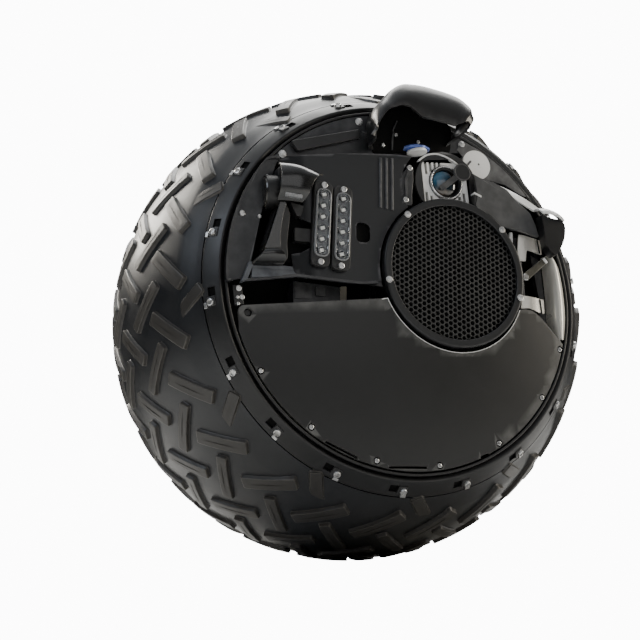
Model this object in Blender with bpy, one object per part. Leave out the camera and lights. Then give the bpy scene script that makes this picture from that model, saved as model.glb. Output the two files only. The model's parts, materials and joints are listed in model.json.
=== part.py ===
"""Spherical patrol robot: one treaded ball tyre that rolls around two still side pods.

The robot stands upright on the floor. +Z is up, the axle lies along X, the front is -Y, and the
origin is at the bottom centre of the ball. Lengths are in metres.

The tyre, its two side discs and flange rings turn as one shell about the axle. Both side pods are
clamped to the ends of the axle and carry a speaker, lights, a camera and their covers. Inside, a
motor on the chassis turns the shell through a gear pair, and a second motor swings a battery
pendulum sideways to steer. The two pods are mirror images of each other.
"""
import math

import bmesh
import bpy
from mathutils import Matrix, Vector

# Ball
TREAD_RADIUS = 0.400            # to the top of the lugs
CARCASS_RADIUS = 0.389          # between the lugs
CARCASS_THICKNESS = 0.010
TURNED_SEGMENTS = 36            # facets of every part that is turned about the axle
GAP = 0.0004                    # clearance between parts that touch

# Angles from the axle, seen from the ball's centre
TYRE_EDGE = math.radians(57.06)
RING_OUTER_EDGE = math.radians(56.90)
RING_INNER_EDGE = math.radians(51.95)

# Tread: six rows of slanted bars, alternately leaning
LUG_COUNT = 24
LUG_LENGTH = 0.088
LUG_WIDTH = 0.020
LUG_LEAN = math.radians(41)
LUG_ROW_STEP = math.radians(8.25)
LUG_ROW_SHIFT = math.radians(2.0)
LUG_ROOT_RADIUS = 0.3835

# Shell discs and pod tubs, turned about the axle
WALL_RADIUS = 0.3025            # inner face of the disc's cylindrical wall
DISC_FACE = 0.172               # outer face of the disc's plate
DISC_PLATE = 0.006
HUB_BORE = 0.0405
HUB_DEPTH = 0.032
TUB_LIP_X = 0.240
TUB_RADIUS = 0.2975
TUB_WALL = 0.0045
TUB_FLOOR = 0.187
TUB_FLOOR_THICKNESS = 0.0055
AXLE_RADIUS = 0.020
AXLE_HALF_LENGTH = 0.207

# Gears: stub teeth with enough backlash to run freely
WHEEL_TEETH = 32
PINION_TEETH = 16
DRIVE_MODULE = 0.005
SWING_MODULE = 0.003
BACKLASH = 0.0008
DRIVE_GEAR_X = 0.146
SWING_GEAR_Y = -0.076

# Pendulum
PENDULUM_ARM_Y = 0.058

# Pod places, as (y, z) from the ball's centre
SPEAKER = (0.080, 0.021)
SPEAKER_RADIUS = 0.1235
GRILLE_RADIUS = 0.1105
SPEAKER_FACE = 0.266
SPEAKER_BACK = 0.2540
CAMERA = (0.0915, 0.1745)
CAMERA_RADIUS = 0.0515
WIPER_PIVOT = (0.118, 0.192)
WIPER_REACH = (-0.043, -0.030)
LATCH_PIVOT = (0.213, 0.017)
LATCH_END = (0.256, 0.047)
SENSOR = (0.1580, 0.2140)
COVER_RIM_X = 0.2400
RIM_CLEAR = 0.2908             # covers end just inside the tub's lip
COVER_RISE = 0.024

RUBBER = ("tyre_rubber", (0.012, 0.012, 0.013), 0.55, 0.0)
SATIN_BLACK = ("satin_black_paint", (0.014, 0.014, 0.016), 0.32, 0.0)
DARK_PLATE = ("dark_grey_plate", (0.035, 0.037, 0.042), 0.38, 0.3)
BLACK_PLASTIC = ("black_plastic", (0.010, 0.010, 0.011), 0.45, 0.0)
STEEL = ("stainless_steel", (0.62, 0.60, 0.57), 0.25, 1.0)
ALUMINIUM = ("machined_aluminium", (0.55, 0.56, 0.58), 0.35, 1.0)
GLASS = ("lamp_lens", (0.75, 0.78, 0.80), 0.08, 0.0)
CHROME = ("bright_chrome", (0.85, 0.85, 0.86), 0.08, 1.0)
BATTERY_WRAP = ("battery_wrap", (0.05, 0.12, 0.30), 0.4, 0.0)
CAST_IRON = ("cast_iron", (0.10, 0.10, 0.11), 0.6, 0.8)


def clear_scene():
    for item in list(bpy.data.objects):
        bpy.data.objects.remove(item, do_unlink=True)


def material(spec):
    name, colour, roughness, metallic = spec
    found = bpy.data.materials.get(name)
    if found:
        return found
    made = bpy.data.materials.new(name)
    made.use_nodes = True
    shader = made.node_tree.nodes["Principled BSDF"]
    shader.inputs["Base Color"].default_value = (*colour, 1.0)
    shader.inputs["Roughness"].default_value = roughness
    shader.inputs["Metallic"].default_value = metallic
    return made


def make_object(name, bm, spec, centre_height=TREAD_RADIUS):
    """Turns a bmesh, built around the ball's centre, into a named object."""
    bmesh.ops.recalc_face_normals(bm, faces=bm.faces)
    mesh = bpy.data.meshes.new(name)
    bm.to_mesh(mesh)
    bm.free()
    mesh.transform(Matrix.Translation((0, 0, centre_height)))
    made = bpy.data.objects.new(name, mesh)
    bpy.context.collection.objects.link(made)
    made.data.materials.append(material(spec))
    mesh.shade_smooth()
    mesh.set_sharp_from_angle(angle=math.radians(35))
    return made


def combined(bm, others, operation):
    """Joins closed shapes to bm, or cuts them from it, and returns the result as a new bmesh."""
    base = make_object("base", bm, BLACK_PLASTIC, 0.0)
    cutters = bpy.data.collections.new("operands")
    bpy.context.scene.collection.children.link(cutters)
    for index, other in enumerate(others):
        operand = make_object(f"operand_{index}", other, BLACK_PLASTIC, 0.0)
        bpy.context.collection.objects.unlink(operand)
        cutters.objects.link(operand)
    modifier = base.modifiers.new("combine", "BOOLEAN")
    modifier.operation = operation
    modifier.solver = "EXACT"
    modifier.operand_type = "COLLECTION"
    modifier.collection = cutters
    modifier.use_self = operation == "UNION"
    evaluated = base.evaluated_get(bpy.context.evaluated_depsgraph_get())
    result = bmesh.new()
    result.from_mesh(evaluated.to_mesh())
    for item in list(cutters.objects) + [base]:
        bpy.data.objects.remove(item, do_unlink=True)
    bpy.data.collections.remove(cutters)
    bmesh.ops.remove_doubles(result, verts=result.verts, dist=0.00002)
    bmesh.ops.dissolve_degenerate(result, edges=result.edges, dist=0.00002)
    bmesh.ops.triangulate(result, faces=result.faces)
    return result


def union(bm, *others):
    return combined(bm, others, "UNION")


def cut(bm, *others):
    return combined(bm, others, "DIFFERENCE")


def mirrored(bm, side):
    """Gives the +X pod's shape as it is, and its mirror image for the -X pod."""
    if side < 0:
        bmesh.ops.scale(bm, vec=(-1, 1, 1), verts=bm.verts)
    return bm


# Basic shapes


def turned(profile, segments=TURNED_SEGMENTS, centre=(0.0, 0.0)):
    """Turns a closed outline of (x, radius) points about an axle through (y, z) = centre."""
    bm = bmesh.new()
    rings = []
    for index in range(segments):
        angle = 2 * math.pi * index / segments
        cosine, sine = math.cos(angle), math.sin(angle)
        rings.append([bm.verts.new((x, centre[0] + r * cosine, centre[1] + r * sine))
                      for x, r in profile])
    count = len(profile)
    for index in range(segments):
        here, there = rings[index], rings[(index + 1) % segments]
        for k in range(count):
            bm.faces.new((here[k], here[(k + 1) % count], there[(k + 1) % count], there[k]))
    return bm


def turned_plug(profile, segments, centre=(0.0, 0.0)):
    """Turns an open outline of (x, radius) points and closes both ends with flat faces."""
    bm = bmesh.new()
    rings = []
    for x, r in profile:
        rings.append([bm.verts.new((x, centre[0] + r * math.cos(2 * math.pi * k / segments),
                                    centre[1] + r * math.sin(2 * math.pi * k / segments)))
                      for k in range(segments)])
    for near, far in zip(rings, rings[1:]):
        for k in range(segments):
            bm.faces.new((near[k], near[(k + 1) % segments], far[(k + 1) % segments], far[k]))
    bm.faces.new(rings[0])
    bm.faces.new(rings[-1])
    return bm


def prism(outline, low, high):
    """Extrudes a (y, z) outline from x = low to x = high."""
    bm = bmesh.new()
    near = [bm.verts.new((low, y, z)) for y, z in outline]
    far = [bm.verts.new((high, y, z)) for y, z in outline]
    count = len(outline)
    bm.faces.new(near)
    bm.faces.new(far)
    for k in range(count):
        bm.faces.new((near[k], near[(k + 1) % count], far[(k + 1) % count], far[k]))
    return bm


def shaped_plate(outline, thickness, depth, y_cuts=(), z_cuts=()):
    """Makes a plate of constant thickness whose outer face lies at x = depth(y, z)."""
    bm = prism(outline, -thickness, 0.0)
    for place in y_cuts:
        bmesh.ops.bisect_plane(bm, geom=bm.verts[:] + bm.edges[:] + bm.faces[:],
                               plane_co=(0, place, 0), plane_no=(0, 1, 0))
    for place in z_cuts:
        bmesh.ops.bisect_plane(bm, geom=bm.verts[:] + bm.edges[:] + bm.faces[:],
                               plane_co=(0, 0, place), plane_no=(0, 0, 1))
    bmesh.ops.triangulate(bm, faces=[f for f in bm.faces if len(f.verts) > 4])
    for vertex in bm.verts:
        vertex.co.x += depth(vertex.co.y, vertex.co.z)
    return bm


def block(low, high):
    bm = bmesh.new()
    bmesh.ops.create_cube(bm, size=1.0)
    size = [b - a for a, b in zip(low, high)]
    middle = [(a + b) / 2 for a, b in zip(low, high)]
    bmesh.ops.scale(bm, vec=size, verts=bm.verts)
    bmesh.ops.translate(bm, vec=middle, verts=bm.verts)
    return bm


def rod(start, end, radius, segments=20):
    """A round bar from one point to another."""
    start, end = Vector(start), Vector(end)
    bm = bmesh.new()
    bmesh.ops.create_cone(bm, cap_ends=True, segments=segments, radius1=radius, radius2=radius,
                          depth=(end - start).length)
    turn = Vector((0, 0, 1)).rotation_difference(end - start).to_matrix().to_4x4()
    bmesh.ops.transform(bm, matrix=Matrix.Translation((start + end) / 2) @ turn, verts=bm.verts)
    return bm


def arc(centre, radius, first, last, steps):
    """Points on a circle in the (y, z) plane, with both end angles in degrees."""
    points = []
    for k in range(steps + 1):
        angle = math.radians(first + (last - first) * k / steps)
        points.append((centre[0] + radius * math.cos(angle), centre[1] + radius * math.sin(angle)))
    return points


def strip(start, end, width):
    """A four-cornered (y, z) outline along the line from start to end."""
    along = Vector((end[0] - start[0], end[1] - start[1])).normalized()
    across = Vector((-along.y, along.x)) * width / 2
    corners = [Vector(start) + across, Vector(start) - across, Vector(end) - across, Vector(end) + across]
    return [(corner.x, corner.y) for corner in corners]


def rounded_strip(start, end, width):
    """A (y, z) outline along the line from start to end, with half-round ends inside that length."""
    heading = math.degrees(math.atan2(end[1] - start[1], end[0] - start[0]))
    along = Vector((end[0] - start[0], end[1] - start[1])).normalized() * width / 2
    first = (start[0] + along.x, start[1] + along.y)
    last = (end[0] - along.x, end[1] - along.y)
    return (arc(last, width / 2, heading - 90, heading + 90, 5)
            + arc(first, width / 2, heading + 90, heading + 270, 5))


def on_sphere(radius, angle_from_axle):
    return radius * math.cos(angle_from_axle), radius * math.sin(angle_from_axle)


# The rolling shell


def tread_bar(latitude, longitude, lean):
    """One rubber bar, its top following the ball and its root inside the carcass."""
    up = Vector((math.sin(latitude), math.cos(latitude) * -math.sin(longitude),
                 math.cos(latitude) * math.cos(longitude)))
    sideways = (Vector((1, 0, 0)) - up * up.x).normalized()
    around = up.cross(sideways)
    along = sideways * math.cos(lean) + around * math.sin(lean)
    across = up.cross(along)
    bm = bmesh.new()
    corners = []
    for radius, shrink in ((LUG_ROOT_RADIUS, 1.0), (TREAD_RADIUS, 0.90)):
        for a, b in ((-1, -1), (1, -1), (1, 1), (-1, 1)):
            offset = along * (a * LUG_LENGTH / 2) + across * (b * LUG_WIDTH / 2 * shrink)
            direction = (up * TREAD_RADIUS + offset).normalized()
            corners.append(bm.verts.new(direction * radius))
    for face in ((0, 1, 2, 3), (4, 5, 6, 7), (0, 1, 5, 4), (1, 2, 6, 5), (2, 3, 7, 6), (3, 0, 4, 7)):
        bm.faces.new([corners[k] for k in face])
    return bm


def tyre():
    steps = 6
    outer = [on_sphere(CARCASS_RADIUS, TYRE_EDGE + (math.pi - 2 * TYRE_EDGE) * k / steps)
             for k in range(steps + 1)]
    seat = math.radians(61.5)
    inner = [on_sphere(CARCASS_RADIUS - CARCASS_THICKNESS, angle)
             for angle in (math.pi - TYRE_EDGE, math.pi - seat, math.radians(100), math.radians(80),
                           seat, TYRE_EDGE)]
    carcass = turned(outer + inner)
    bars = []
    pitch = 2 * math.pi / LUG_COUNT
    for row in range(6):
        latitude = LUG_ROW_SHIFT + (row - 2.5) * LUG_ROW_STEP
        lean = -LUG_LEAN if row % 2 else LUG_LEAN
        start = math.radians(6.5) if row % 2 else math.radians(14.0)
        for k in range(LUG_COUNT):
            bars.append(tread_bar(latitude, start + k * pitch, lean))
    return union(carcass, *bars)


def flange_ring():
    inner_radius = CARCASS_RADIUS - CARCASS_THICKNESS
    middle = (RING_OUTER_EDGE + RING_INNER_EDGE) / 2
    profile = [on_sphere(CARCASS_RADIUS, RING_OUTER_EDGE), on_sphere(CARCASS_RADIUS, middle),
               on_sphere(CARCASS_RADIUS - 0.002, RING_INNER_EDGE),
               on_sphere(inner_radius, RING_INNER_EDGE), on_sphere(inner_radius, RING_OUTER_EDGE)]
    return turned(profile)


def shell_disc():
    """The dished side wall that carries the tyre's edge and the flange ring, with its hub."""
    skin = CARCASS_RADIUS - CARCASS_THICKNESS - 3 * GAP
    flange_in = math.asin(WALL_RADIUS / skin)
    flange_out = math.radians(60.5)
    wall_outer = WALL_RADIUS + 0.004
    wall_meets = math.asin(wall_outer / (skin - 0.006))
    plate_inner = DISC_FACE - DISC_PLATE
    profile = [(DISC_FACE, HUB_BORE), (DISC_FACE, WALL_RADIUS), on_sphere(skin, flange_in),
               on_sphere(skin, flange_out), on_sphere(skin - 0.006, flange_out),
               on_sphere(skin - 0.006, wall_meets), (plate_inner, wall_outer),
               (plate_inner, 0.052), (DISC_FACE - HUB_DEPTH, 0.052), (DISC_FACE - HUB_DEPTH, HUB_BORE)]
    return turned(profile)


def toothed_outline(teeth, module, phase):
    """Outline of a spur gear with stub teeth, as (u, v) points, one tooth centred at phase."""
    pitch_radius = teeth * module / 2
    root = pitch_radius - 1.15 * module
    tip = pitch_radius + 0.85 * module
    flank = math.radians(22)
    half_pitch = math.pi * module / 4 - BACKLASH / 2
    points = []
    for tooth in range(teeth):
        centre = phase + 2 * math.pi * tooth / teeth
        for radius, sign in ((root, -1), (tip, -1), (tip, 1), (root, 1)):
            half = half_pitch - (radius - pitch_radius) * math.tan(flank)
            angle = centre + sign * half / pitch_radius
            points.append((radius * math.cos(angle), radius * math.sin(angle)))
    return points


def gear(teeth, module, phase, width, bore):
    """A spur gear about X, from x = 0 to x = width, with a round bore."""
    disc = prism(toothed_outline(teeth, module, phase), 0.0, width)
    return cut(disc, rod((-0.01, 0, 0), (width + 0.01, 0, 0), bore, 24))


def drive_gear():
    bm = gear(WHEEL_TEETH, DRIVE_MODULE, math.radians(90), 0.014, 0.0525)
    bmesh.ops.translate(bm, vec=(DRIVE_GEAR_X, 0, 0), verts=bm.verts)
    return bm


def drive_pinion():
    distance = (WHEEL_TEETH + PINION_TEETH) * DRIVE_MODULE / 2
    phase = math.radians(-90) + math.pi / PINION_TEETH
    bm = gear(PINION_TEETH, DRIVE_MODULE, phase, 0.014, 0.0064)
    bmesh.ops.translate(bm, vec=(DRIVE_GEAR_X, 0, distance), verts=bm.verts)
    return bm


# Chassis and pendulum


def main_axle():
    inner = 0.014
    return turned([(-AXLE_HALF_LENGTH, AXLE_RADIUS), (AXLE_HALF_LENGTH, AXLE_RADIUS),
                   (AXLE_HALF_LENGTH, inner), (-AXLE_HALF_LENGTH, inner)], 24)


def hub_bearing():
    return turned([(0.1505, HUB_BORE - 0.0006), (0.1790, HUB_BORE - 0.0006),
                   (0.1790, AXLE_RADIUS + GAP), (0.1505, AXLE_RADIUS + GAP)], 20)


def chassis_frame():
    """Block clamped on the axle, with a motor deck above and the pendulum's two pivot pins."""
    body = block((-0.032, -0.044, -0.034), (0.032, 0.044, 0.034))
    deck = block((-0.128, -0.044, 0.030), (0.126, 0.044, 0.038))
    front_pin = rod((0, -0.086, 0), (0, -0.030, 0), 0.011)
    rear_pin = rod((0, 0.030, 0), (0, 0.072, 0), 0.011)
    motor_wall = block((0.112, -0.040, 0.034), (0.120, 0.040, 0.160))
    swing_wall = block((-0.036, -0.0445, 0.034), (0.036, -0.0370, 0.098))
    whole = union(body, deck, front_pin, rear_pin, motor_wall, swing_wall)
    axle_hole = rod((-0.2, 0, 0), (0.2, 0, 0), AXLE_RADIUS + GAP, 24)
    drive_hole = rod((0.10, 0, 0.120), (0.13, 0, 0.120), 0.0075, 20)
    swing_hole = rod((0, -0.06, 0.072), (0, -0.02, 0.072), 0.0065, 20)
    return cut(whole, axle_hole, drive_hole, swing_hole)


def drive_motor():
    """Motor can and gearbox on the inner side of the motor wall, with its output shaft."""
    return turned_plug([(0.012, 0.028), (0.060, 0.028), (0.061, 0.033), (0.1116, 0.033), (0.1117, 0.0060),
                        (0.1620, 0.0060)], 24, (0.0, 0.120))


def swing_motor():
    can = rod((0, -0.0366, 0.072), (0, 0.030, 0.072), 0.021)
    shaft = rod((0, -0.0890, 0.072), (0, -0.0300, 0.072), 0.0045)
    return union(can, shaft)


def to_front(bm):
    """Turns a gear from the X axis to the Y axis, keeping up as up."""
    bmesh.ops.rotate(bm, matrix=Matrix.Rotation(math.radians(90), 3, "Z"), verts=bm.verts)
    return bm


def swing_gear():
    bm = to_front(gear(WHEEL_TEETH, SWING_MODULE, math.radians(90), 0.010, 0.0116))
    bmesh.ops.translate(bm, vec=(0, SWING_GEAR_Y, 0), verts=bm.verts)
    return bm


def swing_pinion():
    distance = (WHEEL_TEETH + PINION_TEETH) * SWING_MODULE / 2
    phase = math.radians(-90) + math.pi / PINION_TEETH
    bm = to_front(gear(PINION_TEETH, SWING_MODULE, phase, 0.010, 0.0049))
    bmesh.ops.translate(bm, vec=(0, SWING_GEAR_Y, distance), verts=bm.verts)
    return bm


def controller_box():
    return block((-0.126, -0.040, 0.0385), (-0.044, 0.040, 0.090))


def pendulum_arm():
    """Two hanging plates on the pivot pins, joined by a battery tray and a ballast plate."""
    arms = []
    for side in (-1, 1):
        low, high = sorted((side * 0.0465, side * (PENDULUM_ARM_Y + 0.006)))
        arms.append(block((-0.018, low, -0.300), (0.018, high, 0.018)))
    tray = block((-0.058, -0.130, -0.302), (0.058, 0.130, -0.294))
    ballast = block((-0.050, -0.105, -0.335), (0.050, 0.105, -0.300))
    whole = union(arms[0], arms[1], tray, ballast)
    return cut(whole, rod((0, -0.1, 0), (0, 0.1, 0), 0.0116))


def battery_pack(side):
    low, high = sorted((side * 0.0655, side * 0.126))
    pack = block((-0.056, low, -0.2935), (0.056, high, -0.170))
    bmesh.ops.bevel(pack, geom=pack.edges[:], offset=0.006, segments=1, affect="EDGES")
    return pack


# Side pods, drawn for the +X side


def pod_tub():
    inner = TUB_RADIUS - TUB_WALL
    back = TUB_FLOOR - TUB_FLOOR_THICKNESS
    return turned([(TUB_LIP_X, TUB_RADIUS), (TUB_LIP_X, inner), (TUB_FLOOR, inner), (TUB_FLOOR, 0.036),
                   (0.205, 0.036), (0.205, AXLE_RADIUS + GAP), (back, AXLE_RADIUS + GAP),
                   (back, TUB_RADIUS)])


def cover_depth(y, z):
    """The lower cover is a shallow dome, highest at the pod's middle."""
    return COVER_RIM_X + COVER_RISE * (1 - (y * y + z * z) / 0.2925 ** 2)


def lower_cover():
    rim = arc((0, 0), RIM_CLEAR, -18.0, -171.5, 26)
    corner = [(-0.2810, -0.0330), (-0.2690, -0.0290)]
    top = [(-0.160, -0.0265), (-0.0560, -0.0220), (-0.0440, -0.0235)]
    scoop = arc(SPEAKER, 0.1290, 203.0, 333.0, 14)
    shoulder = [(0.2040, -0.0370), (0.2200, -0.0375), (0.2360, -0.0490)]
    outline = rim + corner + top + scoop + shoulder
    return shaped_plate(outline, 0.004, cover_depth, (-0.21, -0.13, -0.05, 0.05, 0.15, 0.23),
                        (-0.09, -0.16, -0.225))


def speaker_driver():
    return turned_plug([(0.1885, 0.045), (0.2050, 0.045), (0.2060, 0.060), (0.2400, 0.096),
                        (0.2520, 0.097)], 20, SPEAKER)


def speaker_flange():
    return turned([(SPEAKER_FACE, GRILLE_RADIUS), (SPEAKER_FACE, SPEAKER_RADIUS - 0.002),
                   (SPEAKER_FACE - 0.002, SPEAKER_RADIUS), (SPEAKER_BACK, SPEAKER_RADIUS),
                   (SPEAKER_BACK, GRILLE_RADIUS)], 32, SPEAKER)


def speaker_grille():
    return turned_plug([(0.2570, GRILLE_RADIUS - 0.0012), (0.2630, GRILLE_RADIUS - 0.0012)], 32, SPEAKER)


def light_plate_depth(y, z):
    """Flat behind the lamps, and bent back towards the rim beyond y = -0.155."""
    return 0.256 - 0.35 * max(0.0, -0.155 - y)


def light_plate():
    lamp_side = [(-0.195, 0.209), (-0.190, 0.100), (-0.187, 0.014), (-0.079, 0.004), (-0.053, 0.006)]
    around_speaker = arc(SPEAKER, 0.1285, 186.0, 120.0, 6)
    around_camera = [(0.009, 0.150), (0.010, 0.186), (0.024, 0.205), (0.044, 0.217)]
    outline = lamp_side + around_speaker + around_camera + [(-0.125, 0.214)]
    return shaped_plate(outline, 0.003, light_plate_depth, (-0.155,))


def led_bar(start, end):
    """A slanted lamp bar: black base with rounded ends and a raised clear lens."""
    base = prism(rounded_strip(start, end, 0.030), 0.2565, 0.2665)
    inset = 0.10
    lens_start = [a + (b - a) * inset for a, b in zip(start, end)]
    lens_end = [b - (b - a) * inset for a, b in zip(start, end)]
    lens = prism(rounded_strip(lens_start, lens_end, 0.025), 0.2600, 0.2765)
    return union(base, lens)


def wing_plate():
    outer = arc((0, 0), 0.2995, 177.6, 134.0, 12)
    top = [(-0.1935, 0.2115), (-0.2000, 0.1990)]
    inner = [(-0.2310, 0.1200), (-0.2560, 0.0380), (-0.2700, 0.0070)]
    return prism(outer + top + inner, 0.2430, 0.2465)


def hood_arch(outer, inner, low, high):
    return prism(outer + inner[::-1], low, high)


def front_hood():
    """An arched visor over the front lamp, open below."""
    outer = [(-0.212, 0.140), (-0.208, 0.172), (-0.2035, 0.188), (-0.194, 0.1955), (-0.180, 0.1965),
             (-0.150, 0.190), (-0.127, 0.182), (-0.140, 0.1655), (-0.157, 0.151), (-0.167, 0.138)]
    inner = [(-0.207, 0.140), (-0.203, 0.171), (-0.199, 0.1845), (-0.1915, 0.1905), (-0.180, 0.1915),
             (-0.152, 0.1855), (-0.138, 0.179), (-0.146, 0.169), (-0.1615, 0.1545), (-0.171, 0.140)]
    return hood_arch(outer, inner, 0.2570, 0.2900)


def headlamp():
    """Lamp body between the wing and the light plate, with a black box at its foot."""
    body = prism([(-0.234, 0.066), (-0.208, 0.046), (-0.1985, 0.132), (-0.2105, 0.135)], 0.2000, 0.2620)
    foot = block((0.2000, -0.2440, 0.036), (0.2540, -0.1970, 0.066))
    return union(body, foot)


def camera_housing():
    """Round camera body, a recessed finned face and the lens barrel standing in its middle."""
    return turned_plug([(0.1895, 0.044), (0.2300, 0.044), (0.2400, CAMERA_RADIUS), (0.2500, CAMERA_RADIUS),
                        (0.2500, CAMERA_RADIUS - 0.006), (0.2380, CAMERA_RADIUS - 0.008),
                        (0.2380, 0.029), (0.2530, 0.029), (0.2530, 0.024), (0.2480, 0.0238)],
                       22, CAMERA)


def wiper():
    """Pivot cap with its post, and the arm that lies across the lens."""
    post = turned_plug([(0.2534, 0.006), (0.2570, 0.006), (0.2572, 0.0150), (0.2610, 0.0150), (0.2625, 0.0130)],
                       24, WIPER_PIVOT)
    end = (WIPER_PIVOT[0] + WIPER_REACH[0], WIPER_PIVOT[1] + WIPER_REACH[1])
    return union(post, prism(strip(WIPER_PIVOT, end, 0.0105), 0.2575, 0.2605))


def top_hood():
    """A cobra-shaped visor above the camera, closed behind and open below and outwards."""
    stations = [(-0.043, 0.262, 0.249), (-0.033, 0.282, 0.263), (-0.013, 0.306, 0.281), (0.004, 0.325, 0.286),
                (0.018, 0.334, 0.282), (0.037, 0.3355, 0.268), (0.056, 0.3345, 0.264), (0.092, 0.327, 0.2575),
                (0.120, 0.316, 0.263), (0.140, 0.292, 0.264)]
    wall = 0.005
    sections = []
    for y, top, rim in stations:
        drop = top - rim
        outer = [(0.2405, 0.2420), (0.2405, top - 0.35 * drop), (0.2480, top - 0.08 * drop), (0.2660, top),
                 (0.2830, top - 0.06 * drop), (0.2960, top - 0.30 * drop), (0.3010, rim)]
        inner = [(0.3010 - wall, rim), (0.2960 - wall, top - 0.30 * drop - wall * 0.5),
                 (0.2810, top - 0.06 * drop - wall), (0.2660, top - wall), (0.2510, top - 0.08 * drop - wall),
                 (0.2405 + wall, top - 0.35 * drop - wall), (0.2405 + wall, 0.2420)]
        sections.append([(x, y, z) for x, z in outer + inner])
    return lofted(sections)


def lofted(sections):
    """Joins closed sections of equal point count, and caps the two ends."""
    bm = bmesh.new()
    rings = [[bm.verts.new(point) for point in section] for section in sections]
    count = len(rings[0])
    for near, far in zip(rings, rings[1:]):
        for k in range(count):
            bm.faces.new((near[k], near[(k + 1) % count], far[(k + 1) % count], far[k]))
    bm.faces.new(rings[0])
    bm.faces.new(rings[-1])
    bmesh.ops.triangulate(bm, faces=bm.faces)
    return bm


def upper_panel():
    """Crescent between the rim and the light plate, with a raised stiffening bar."""
    outline = arc((0, 0), RIM_CLEAR, 133.0, 58.0, 12) + [(0.1300, 0.2350), (0.0300, 0.2330), (-0.1850, 0.2150)]
    bar = prism([(-0.168, 0.2370), (-0.052, 0.2615), (-0.050, 0.2480), (-0.160, 0.2215)], 0.2350, 0.2470)
    return union(prism(outline, 0.2340, 0.2385), bar)


def rear_plate():
    return prism([(0.1370, 0.1400), (0.1530, 0.1280), (0.1755, 0.1045), (0.2490, 0.0810), (0.2390, 0.1090),
                  (0.2240, 0.1360), (0.1990, 0.1690), (0.1400, 0.1840)], 0.2585, 0.2620)


def rear_hood():
    """A curved visor over the rear corner of the pod."""
    outer = [(0.216, 0.129), (0.245, 0.132), (0.271, 0.129), (0.288, 0.115), (0.289, 0.103), (0.283, 0.079),
             (0.271, 0.060), (0.262, 0.047)]
    inner = [(0.222, 0.1245), (0.245, 0.127), (0.2695, 0.1240), (0.2825, 0.1125), (0.2835, 0.1025),
             (0.2780, 0.081), (0.2665, 0.0630), (0.2570, 0.0500)]
    return hood_arch(outer, inner, 0.2630, 0.2880)


def clamp_bracket():
    """Two bent stainless ears on one backing strip."""
    spine = block((0.2360, 0.2120, -0.034), (0.2395, 0.2245, 0.093))
    upper = block((0.2360, 0.2120, 0.061), (0.2490, 0.2560, 0.092))
    lower = block((0.2360, 0.2080, -0.034), (0.2490, 0.2480, -0.009))
    return union(spine, upper, lower)


def latch_lever():
    boss = turned_plug([(0.2500, 0.0072), (0.2575, 0.0072)], 12, LATCH_PIVOT)
    return union(boss, prism(strip(LATCH_PIVOT, LATCH_END, 0.011), 0.2510, 0.2560))


def side_sensor():
    """A bright domed cap with a mounting tab."""
    dome = turned_plug([(0.1900, 0.022), (0.2280, 0.0245), (0.2360, 0.023), (0.2400, 0.016), (0.2415, 0.006)],
                       24, SENSOR)
    tab = prism(strip((0.1750, 0.2060), (0.1990, 0.1980), 0.018), 0.2240, 0.2285)
    return union(dome, tab)


POD_PARTS = [
    ("pod_tub", pod_tub, SATIN_BLACK), ("lower_cover", lower_cover, SATIN_BLACK),
    ("speaker_driver", speaker_driver, BLACK_PLASTIC), ("speaker_flange", speaker_flange, DARK_PLATE),
    ("speaker_grille", speaker_grille, BLACK_PLASTIC), ("light_plate", light_plate, DARK_PLATE),
    ("wing_plate", wing_plate, SATIN_BLACK), ("front_hood", front_hood, SATIN_BLACK),
    ("headlamp", headlamp, BLACK_PLASTIC), ("camera_housing", camera_housing, ALUMINIUM),
    ("wiper", wiper, DARK_PLATE), ("top_hood", top_hood, SATIN_BLACK),
    ("upper_panel", upper_panel, SATIN_BLACK), ("rear_plate", rear_plate, DARK_PLATE),
    ("rear_hood", rear_hood, SATIN_BLACK), ("clamp_bracket", clamp_bracket, STEEL),
    ("latch_lever", latch_lever, DARK_PLATE), ("side_sensor", side_sensor, CHROME),
]


def build_shell():
    make_object("tyre", tyre(), RUBBER)
    for label, side in (("left", 1), ("right", -1)):
        make_object(f"{label}_flange_ring", mirrored(flange_ring(), side), SATIN_BLACK)
        make_object(f"{label}_shell_disc", mirrored(shell_disc(), side), DARK_PLATE)
        make_object(f"{label}_hub_bearing", mirrored(hub_bearing(), side), STEEL)
    make_object("drive_gear", drive_gear(), CAST_IRON)


def build_core():
    make_object("main_axle", main_axle(), STEEL)
    make_object("chassis_frame", chassis_frame(), ALUMINIUM)
    make_object("drive_motor", drive_motor(), BLACK_PLASTIC)
    make_object("drive_pinion", drive_pinion(), STEEL)
    make_object("controller_box", controller_box(), BLACK_PLASTIC)
    make_object("swing_motor", swing_motor(), BLACK_PLASTIC)
    make_object("swing_gear", swing_gear(), CAST_IRON)
    make_object("swing_pinion", swing_pinion(), STEEL)
    make_object("pendulum_arm", pendulum_arm(), CAST_IRON)
    make_object("front_battery", battery_pack(-1), BATTERY_WRAP)
    make_object("rear_battery", battery_pack(1), BATTERY_WRAP)


def build_pod(label, side):
    for name, shape, spec in POD_PARTS:
        make_object(f"{label}_{name}", mirrored(shape(), side), spec)
    front = led_bar((-0.1515, 0.0270), (-0.1305, 0.1640))
    rear = led_bar((-0.1180, 0.0210), (-0.0985, 0.1580))
    make_object(f"{label}_front_led_bar", mirrored(front, side), GLASS)
    make_object(f"{label}_rear_led_bar", mirrored(rear, side), GLASS)


clear_scene()
build_shell()
build_core()
build_pod("left", 1)
build_pod("right", -1)
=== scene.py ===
"""The looks of the spherical patrol robot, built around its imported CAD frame.

Everything is drawn around the ball's centre in metres: X along the axle, -Y the front, +Z up.
Pod pieces are drawn once for the +X side and mirrored for the other side at the end.
"""
import json
import math

import bmesh
import bpy
from mathutils import Matrix, Vector

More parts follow.
